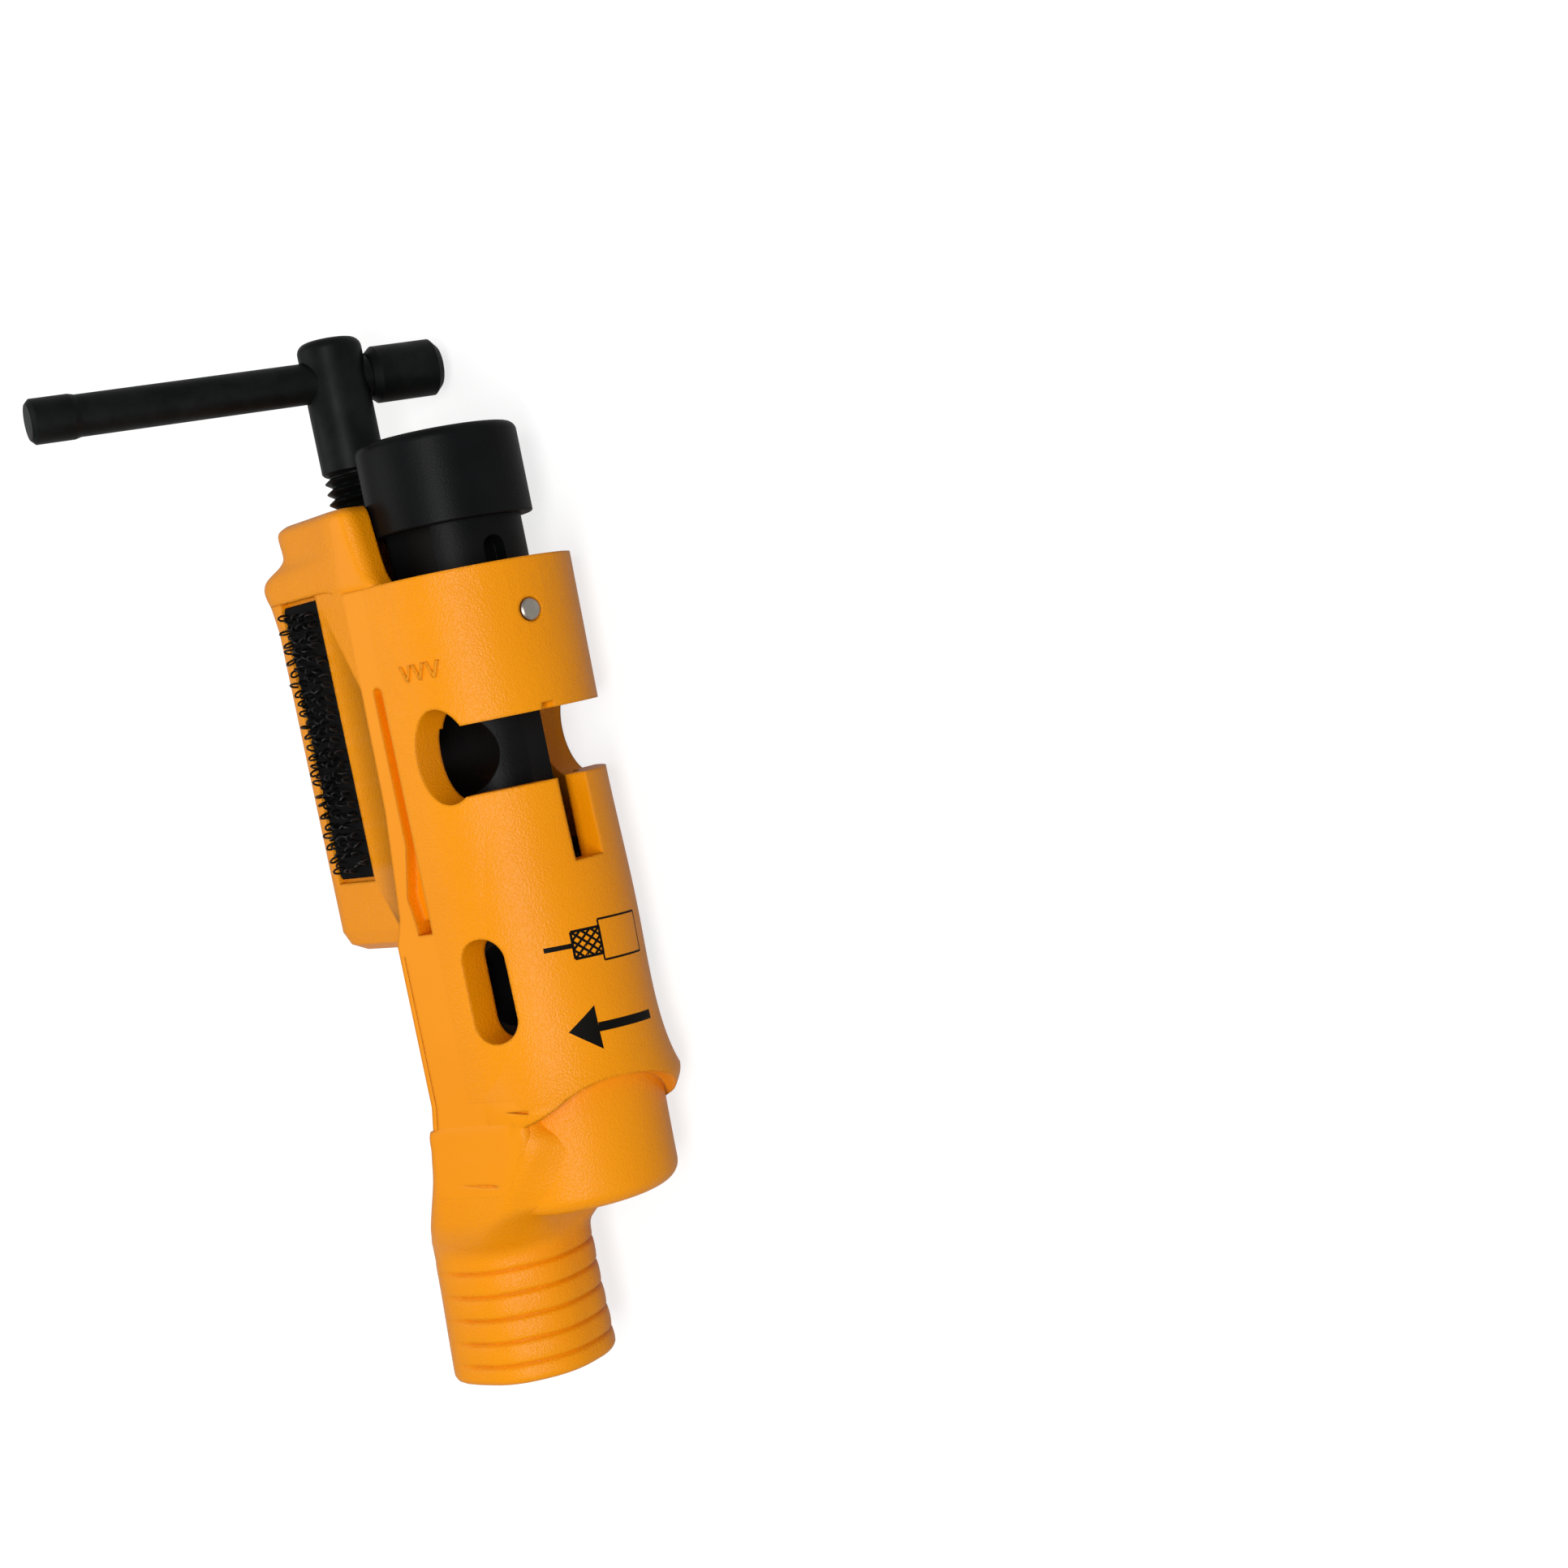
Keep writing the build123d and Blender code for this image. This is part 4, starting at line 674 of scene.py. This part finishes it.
def hookTree():
    sizes = {key: hookTape[key] for key in ("pitch", "wire", "hookHigh", "hookReach", "rows", "hooks", "seed")}
    tree, start, end = nodeTree("hookRows", sizes)
    field = tree.nodes.new("GeometryNodeMeshGrid")
    for count, side in (("rows", "X"), ("hooks", "Y")):
        gaps = treeMath(tree, "SUBTRACT", start.outputs[count], 1.0)
        tree.links.new(treeMath(tree, "MULTIPLY", gaps, start.outputs["pitch"]), field.inputs["Size " + side])
        tree.links.new(start.outputs[count], field.inputs["Vertices " + side])
    spread = hookTape["spread"]
    jitter = tree.nodes.new("GeometryNodeSetPosition")
    tree.links.new(field.outputs["Mesh"], jitter.inputs["Geometry"])
    tree.links.new(randomVector(tree, (-spread, -spread, 0.0), (spread, spread, 0.0), start.outputs["seed"]),
                   jitter.inputs["Offset"])
    # one hook: a bent yarn that rises and turns over
    arc = tree.nodes.new("GeometryNodeCurveArc")
    arc.mode = "RADIUS"
    arc.inputs["Resolution"].default_value = 8
    arc.inputs["Radius"].default_value = 1.0
    arc.inputs["Start Angle"].default_value = math.radians(hookTape["hookFrom"])
    arc.inputs["Sweep Angle"].default_value = math.radians(hookTape["hookSweep"])
    upright = tree.nodes.new("GeometryNodeTransform")
    upright.inputs["Rotation"].default_value = (math.radians(90), 0, 0)
    tree.links.new(arc.outputs["Curve"], upright.inputs["Geometry"])
    bend = tree.nodes.new("ShaderNodeCombineXYZ")
    for size, share, way in (("hookReach", 0.5, "X"), ("hookHigh", 0.52, "Y"), ("hookHigh", 0.52, "Z")):
        tree.links.new(treeMath(tree, "MULTIPLY", start.outputs[size], share), bend.inputs[way])
    sized = tree.nodes.new("GeometryNodeTransform")
    tree.links.new(upright.outputs["Geometry"], sized.inputs["Geometry"])
    tree.links.new(bend.outputs[0], sized.inputs["Scale"])
    section = tree.nodes.new("GeometryNodeCurvePrimitiveCircle")
    section.inputs["Resolution"].default_value = 5
    tree.links.new(start.outputs["wire"], section.inputs["Radius"])
    yarn = tree.nodes.new("GeometryNodeCurveToMesh")
    yarn.inputs["Fill Caps"].default_value = True
    tree.links.new(sized.outputs["Geometry"], yarn.inputs["Curve"])
    tree.links.new(section.outputs["Curve"], yarn.inputs["Profile Curve"])
    (tiltX, tiltY), (turnLow, turnHigh) = hookTape["tilt"], hookTape["turn"]
    twist = randomVector(tree, (-tiltX, -tiltY, turnLow), (tiltX, tiltY, turnHigh),
                         treeMath(tree, "ADD", start.outputs["seed"], 1.0))
    plant = tree.nodes.new("GeometryNodeInstanceOnPoints")
    tree.links.new(jitter.outputs["Geometry"], plant.inputs["Points"])
    tree.links.new(yarn.outputs["Mesh"], plant.inputs["Instance"])
    tree.links.new(twist, plant.inputs["Rotation"])
    closeTree(tree, plant.outputs["Instances"], end, "hook")
    return tree, sizes


tree, sizes = hookTree()
hooks = meshFromTree("tapeHooks", tree, sizes, "hook")
middle = ((hookTape["near"] + hookTape["far"]) / 2, (hookTape["low"] + hookTape["high"]) / 2)
webTop = -hookTape["sunk"] + hookTape["web"]
hooks.data.transform(flankFrame @ Matrix.Translation((middle[0], middle[1], webTop + 0.4 * hookTape["hookHigh"])))
outwardFaces(hooks.data)
shadeSmooth(hooks.data, 60)

web = bmesh.new()
webRows, webRibs = hookTape["webRows"], hookTape["webRibs"]
grid = {}
for i in range(webRows + 1):
    for j in range(webRibs + 1):
        # woven ribs across the web, rolled edges
        rib = hookTape["rib"] * math.cos(j * math.pi) * (1 if i % 2 else -1)
        sink = -hookTape["rolledEdge"] if i in (0, webRows) or j in (0, webRibs) else 0.0
        across = hookTape["near"] + i / webRows * (hookTape["far"] - hookTape["near"])
        along = hookTape["low"] + j / webRibs * (hookTape["high"] - hookTape["low"])
        grid[i, j] = web.verts.new(flankFrame @ Vector((across, along, webTop + rib + sink)))
for i in range(webRows):
    for j in range(webRibs):
        web.faces.new((grid[i, j], grid[i + 1, j], grid[i + 1, j + 1], grid[i, j + 1]))
rim = bmesh.ops.extrude_edge_only(web, edges=[edge for edge in web.edges if edge.is_boundary])
down = flankFrame.to_3x3() @ Vector((0, 0, -1))
for item in rim["geom"]:
    if isinstance(item, bmesh.types.BMVert):
        item.co += down * (hookTape["web"] - hookTape["under"])
closeEnds(web)
tapeWeb = pieceFrom(web, "tapeWeb", "tape", 50)
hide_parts("hook_tape")
for piece in (tapeWeb, hooks):
    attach(piece, "body")
print("hook tape with", len(hooks.data.polygons), "hook faces")


bpy.context.view_layer.update()
housingSurface = BVHTree.FromObject(mouldedBody, bpy.context.evaluated_depsgraph_get())
barrelPrint = {"thick": 0.02 * mm, "lift": 0.008 * mm, "step": 0.35, "radius": 9.9, "castFrom": 20 * mm}
perDegree = math.radians(1) * barrelPrint["radius"]


def onBarrel(angle, y, lift):
    # point on the barrel's skin, angle in degrees from +X towards +Z, y in mm
    way = Vector((math.cos(math.radians(angle)), 0, math.sin(math.radians(angle))))
    hit = housingSurface.ray_cast(inFrame(0, y, 0) + way * barrelPrint["castFrom"], -way)
    return hit[0] + way * lift


def printPatch(work, corners):
    # a thin closed patch over a four-sided region given in (angle, y), laid on the skin
    spanA = max(abs(corners[1][0] - corners[0][0]), abs(corners[2][0] - corners[3][0])) * perDegree
    spanY = max(abs(corners[3][1] - corners[0][1]), abs(corners[2][1] - corners[1][1]))
    nA, nY = max(1, round(spanA / barrelPrint["step"])), max(1, round(spanY / barrelPrint["step"]))
    layers = []
    for lift in (barrelPrint["lift"] - barrelPrint["thick"], barrelPrint["lift"]):
        layer = []
        for j in range(nY + 1):
            line = []
            for i in range(nA + 1):
                s, t = i / nA, j / nY
                low = [corners[0][k] * (1 - s) + corners[1][k] * s for k in (0, 1)]
                high = [corners[3][k] * (1 - s) + corners[2][k] * s for k in (0, 1)]
                angle, y = (low[k] * (1 - t) + high[k] * t for k in (0, 1))
                line.append(work.verts.new(onBarrel(angle, y, lift)))
            layer.append(line)
        layers.append(layer)
    bottom, top = layers
    for j in range(nY):
        for i in range(nA):
            work.faces.new((top[j][i], top[j][i + 1], top[j + 1][i + 1], top[j + 1][i]))
            work.faces.new((bottom[j][i], bottom[j + 1][i], bottom[j + 1][i + 1], bottom[j][i + 1]))
    border = ([(0, i) for i in range(nA)] + [(j, nA) for j in range(nY)]
              + [(nY, i) for i in range(nA, 0, -1)] + [(j, 0) for j in range(nY, 0, -1)])
    for (j, i), (jn, im) in zip(border, border[1:] + border[:1]):
        work.faces.new((bottom[j][i], bottom[jn][im], top[jn][im], top[j][i]))


def strokePatch(work, start, end, width):
    # a straight printed line from (angle, y) to (angle, y)
    along = Vector(((end[0] - start[0]) * perDegree, end[1] - start[1]))
    side = Vector((-along.y, along.x)).normalized() * width / 2
    right, up = side.x / perDegree, side.y
    printPatch(work, [(start[0] - right, start[1] - up), (end[0] - right, end[1] - up),
                      (end[0] + right, end[1] + up), (start[0] + right, start[1] + up)])


def boxStrokes(work, left, right, half, width):
    # the outline of a part of the cable that runs from left to right
    for first, second in (((left, -half), (right, -half)), ((left, half), (right, half)),
                          ((left, -half), (left, half)), ((right, -half), (right, half))):
        (start, startUp), (end, endUp) = first, second
        strokePatch(work, (start[0], start[1] + startUp), (end[0], end[1] + endUp), width)


cableOutline = {"tip": (46.5, 4.03), "core": (30.4, 3.93), "braid": (13.0, 3.81), "jacket": (-20.0, 3.49),
                "braidHigh": 2.5, "jacketHigh": 3.8, "mesh": 3, "coreLine": 0.45, "braidLine": 0.26, "meshLine": 0.24,
                "jacketLine": 0.2}
work = bmesh.new()
core, braid, jacket = cableOutline["core"], cableOutline["braid"], cableOutline["jacket"]
halfBraid, strokes = cableOutline["braidHigh"] / 2, cableOutline["mesh"]
strokePatch(work, cableOutline["tip"], core, cableOutline["coreLine"])
boxStrokes(work, core, braid, halfBraid, cableOutline["braidLine"])
for k in range(-strokes + 1, strokes):
    # slanted lines of the braid, cut to its square
    for lean in (1, -1):
        ends = []
        for step in range(21):
            s = step / 20
            y = -halfBraid + (s + k / strokes) * 2 * halfBraid
            if abs(y) <= halfBraid + 1e-6:
                ends.append((core[0] + (braid[0] - core[0]) * s, core[1] + (braid[1] - core[1]) * s + y * lean))
        if len(ends) > 1:
            strokePatch(work, ends[0], ends[-1], cableOutline["meshLine"])
boxStrokes(work, braid, jacket, cableOutline["jacketHigh"] / 2, cableOutline["jacketLine"])
arrow = {"tip": (42.1, -3.72), "head": (25.2, -3.89), "end": (-15.0, -4.32), "headHigh": 4.1, "tipHigh": 0.04,
         "shaft": 0.85}
(tipAngle, tipY), (headAngle, headY) = arrow["tip"], arrow["head"]
printPatch(work, [(tipAngle, tipY - arrow["tipHigh"] / 2), (headAngle, headY - arrow["headHigh"] / 2),
                  (headAngle, headY + arrow["headHigh"] / 2), (tipAngle, tipY + arrow["tipHigh"] / 2)])
strokePatch(work, arrow["head"], arrow["end"], arrow["shaft"])
ink = pieceFrom(work, "barrelPrint", "print")
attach(ink, "body")

# a plain raised mark over the cut-off window: three chevrons that point to it
raisedMark = {"x": 1.5 * mm, "y": 31.0 * mm, "high": 1.5 * mm, "wide": 1.1 * mm, "gap": 1.45 * mm, "bar": 0.3 * mm,
              "sunk": 0.1 * mm, "proud": 0.16 * mm, "castFrom": 40 * mm}
work = bmesh.new()
for k in (-1, 0, 1):
    centre = Vector((toolAxes["barrelX"] + raisedMark["x"] + k * raisedMark["gap"], raisedMark["y"]))
    for side in (-1, 1):
        low = centre + Vector((0, -raisedMark["high"] / 2))
        high = centre + Vector((side * raisedMark["wide"] / 2, raisedMark["high"] / 2))
        wide = Vector((raisedMark["bar"] / 2, 0))
        rings = []
        for lift in (-raisedMark["sunk"], raisedMark["proud"]):
            ring = []
            for corner in (low - wide, low + wide, high + wide, high - wide):
                hit = housingSurface.ray_cast(Vector((corner.x, corner.y, raisedMark["castFrom"])), Vector((0, 0, -1)))
                ring.append(work.verts.new(hit[0] + Vector((0, 0, lift))))
            rings.append(ring)
        bottom, top = rings
        work.faces.new(top)
        work.faces.new(bottom[::-1])
        for i in range(4):
            after = (i + 1) % 4
            work.faces.new((bottom[i], bottom[after], top[after], top[i]))
mark = pieceFrom(work, "raisedMark", "yellow")
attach(mark, "body")
print("print and raised mark laid on the barrel")


studio = {"floor": 3.0, "floorZ": -0.0002, "floorTone": 0.36, "floorGlow": 0.76, "floorMirrored": 0.2, "world": 0.34,
          "aim": (0.0, 0.0, 0.01),
          "keyLamp": {"place": (0.246, -0.03, 0.45), "power": 1.6, "size": (0.36, 0.13)},
          "fillLamp": {"place": (-0.34, 0.12, 0.38), "power": 0.55, "size": (0.4,)},
          "rimLamp": {"place": (0.42, -0.22, 0.22), "power": 0.12, "size": (0.3,)}}


def paleMaterial(name, tone, glow):
    # pale to the eye and in reflections, plain diffuse to the light
    material, nodes, links, shader, place = shadeTree(name, 0.0)
    color, cloudy = (tone, tone, tone, 1.0), noiseNode(nodes, links, place, 3.0, 2.0)
    blendColor(nodes, links, shader, cloudy, (0.0, color), (1.0, lighter(color, 1.01)))
    shader.inputs["Roughness"].default_value = 1.0
    ray = nodes.new("ShaderNodeLightPath")
    mirrored = mathNode(nodes, links, "MULTIPLY", ray.outputs["Is Glossy Ray"], studio["floorMirrored"])
    seen = mathNode(nodes, links, "MAXIMUM", ray.outputs["Is Camera Ray"], mirrored)
    shader.inputs["Emission Color"].default_value = (1.0, 1.0, 1.0, 1.0)
    links.new(mathNode(nodes, links, "MULTIPLY", seen, glow), shader.inputs["Emission Strength"])
    return material


floorMesh = bpy.data.meshes.new("floor")
half = studio["floor"]
floorCorners = [(x * half, y * half, studio["floorZ"]) for x, y in ((-1, -1), (1, -1), (1, 1), (-1, 1))]
floorMesh.from_pydata(floorCorners, [], [(0, 1, 2, 3)])
floor = bpy.data.objects.new("floor", floorMesh)
bpy.context.scene.collection.objects.link(floor)
floorMesh.materials.append(paleMaterial("paleFloor", studio["floorTone"], studio["floorGlow"]))

world = bpy.data.worlds.new("studio")
bpy.context.scene.world = world
world.use_nodes = True
sky = world.node_tree.nodes["Background"]
sky.inputs["Color"].default_value = (1.0, 1.0, 1.0, 1.0)
sky.inputs["Strength"].default_value = studio["world"]

for name in ("keyLamp", "fillLamp", "rimLamp"):
    # a lamp with two sizes is a rectangle, one with a single size a disk
    place, power, size = (studio[name][key] for key in ("place", "power", "size"))
    data = bpy.data.lights.new(name, "AREA")
    data.shape, data.size, data.energy = "RECTANGLE" if len(size) > 1 else "DISK", size[0], power
    data.size_y = size[-1]
    lamp = bpy.data.objects.new(name, data)
    lamp.location = place
    lamp.rotation_euler = (Vector(studio["aim"]) - Vector(place)).to_track_quat("-Z", "Y").to_euler()
    bpy.context.scene.collection.objects.link(lamp)

# the photograph's camera: its focal length is 3000 pixels in a picture 1932 wide
view = {"place": (160.79 * mm, 28.68 * mm, 180.7 * mm), "right": (0.80061, -0.19629, -0.56613),
        "up": (0.12227, 0.97846, -0.16635), "forward": (-0.58658, -0.06396, -0.80736), "sensor": 36.0,
        "focal": 3000, "wide": 1932, "clip": (0.01, 20.0)}
camera = bpy.data.objects.new("camera", bpy.data.cameras.new("camera"))
bpy.context.scene.collection.objects.link(camera)
camera.data.lens, camera.data.sensor_width = view["sensor"] * view["focal"] / view["wide"], view["sensor"]
camera.data.clip_start, camera.data.clip_end = view["clip"]
right, up, forward = (Vector(view[way]) for way in ("right", "up", "forward"))
camera.matrix_world = Matrix.Translation(view["place"]) @ Matrix((right, up, -forward)).transposed().to_4x4()
bpy.context.scene.camera = camera
bpy.context.scene.view_settings.view_transform = "Standard"

print("scene ready")
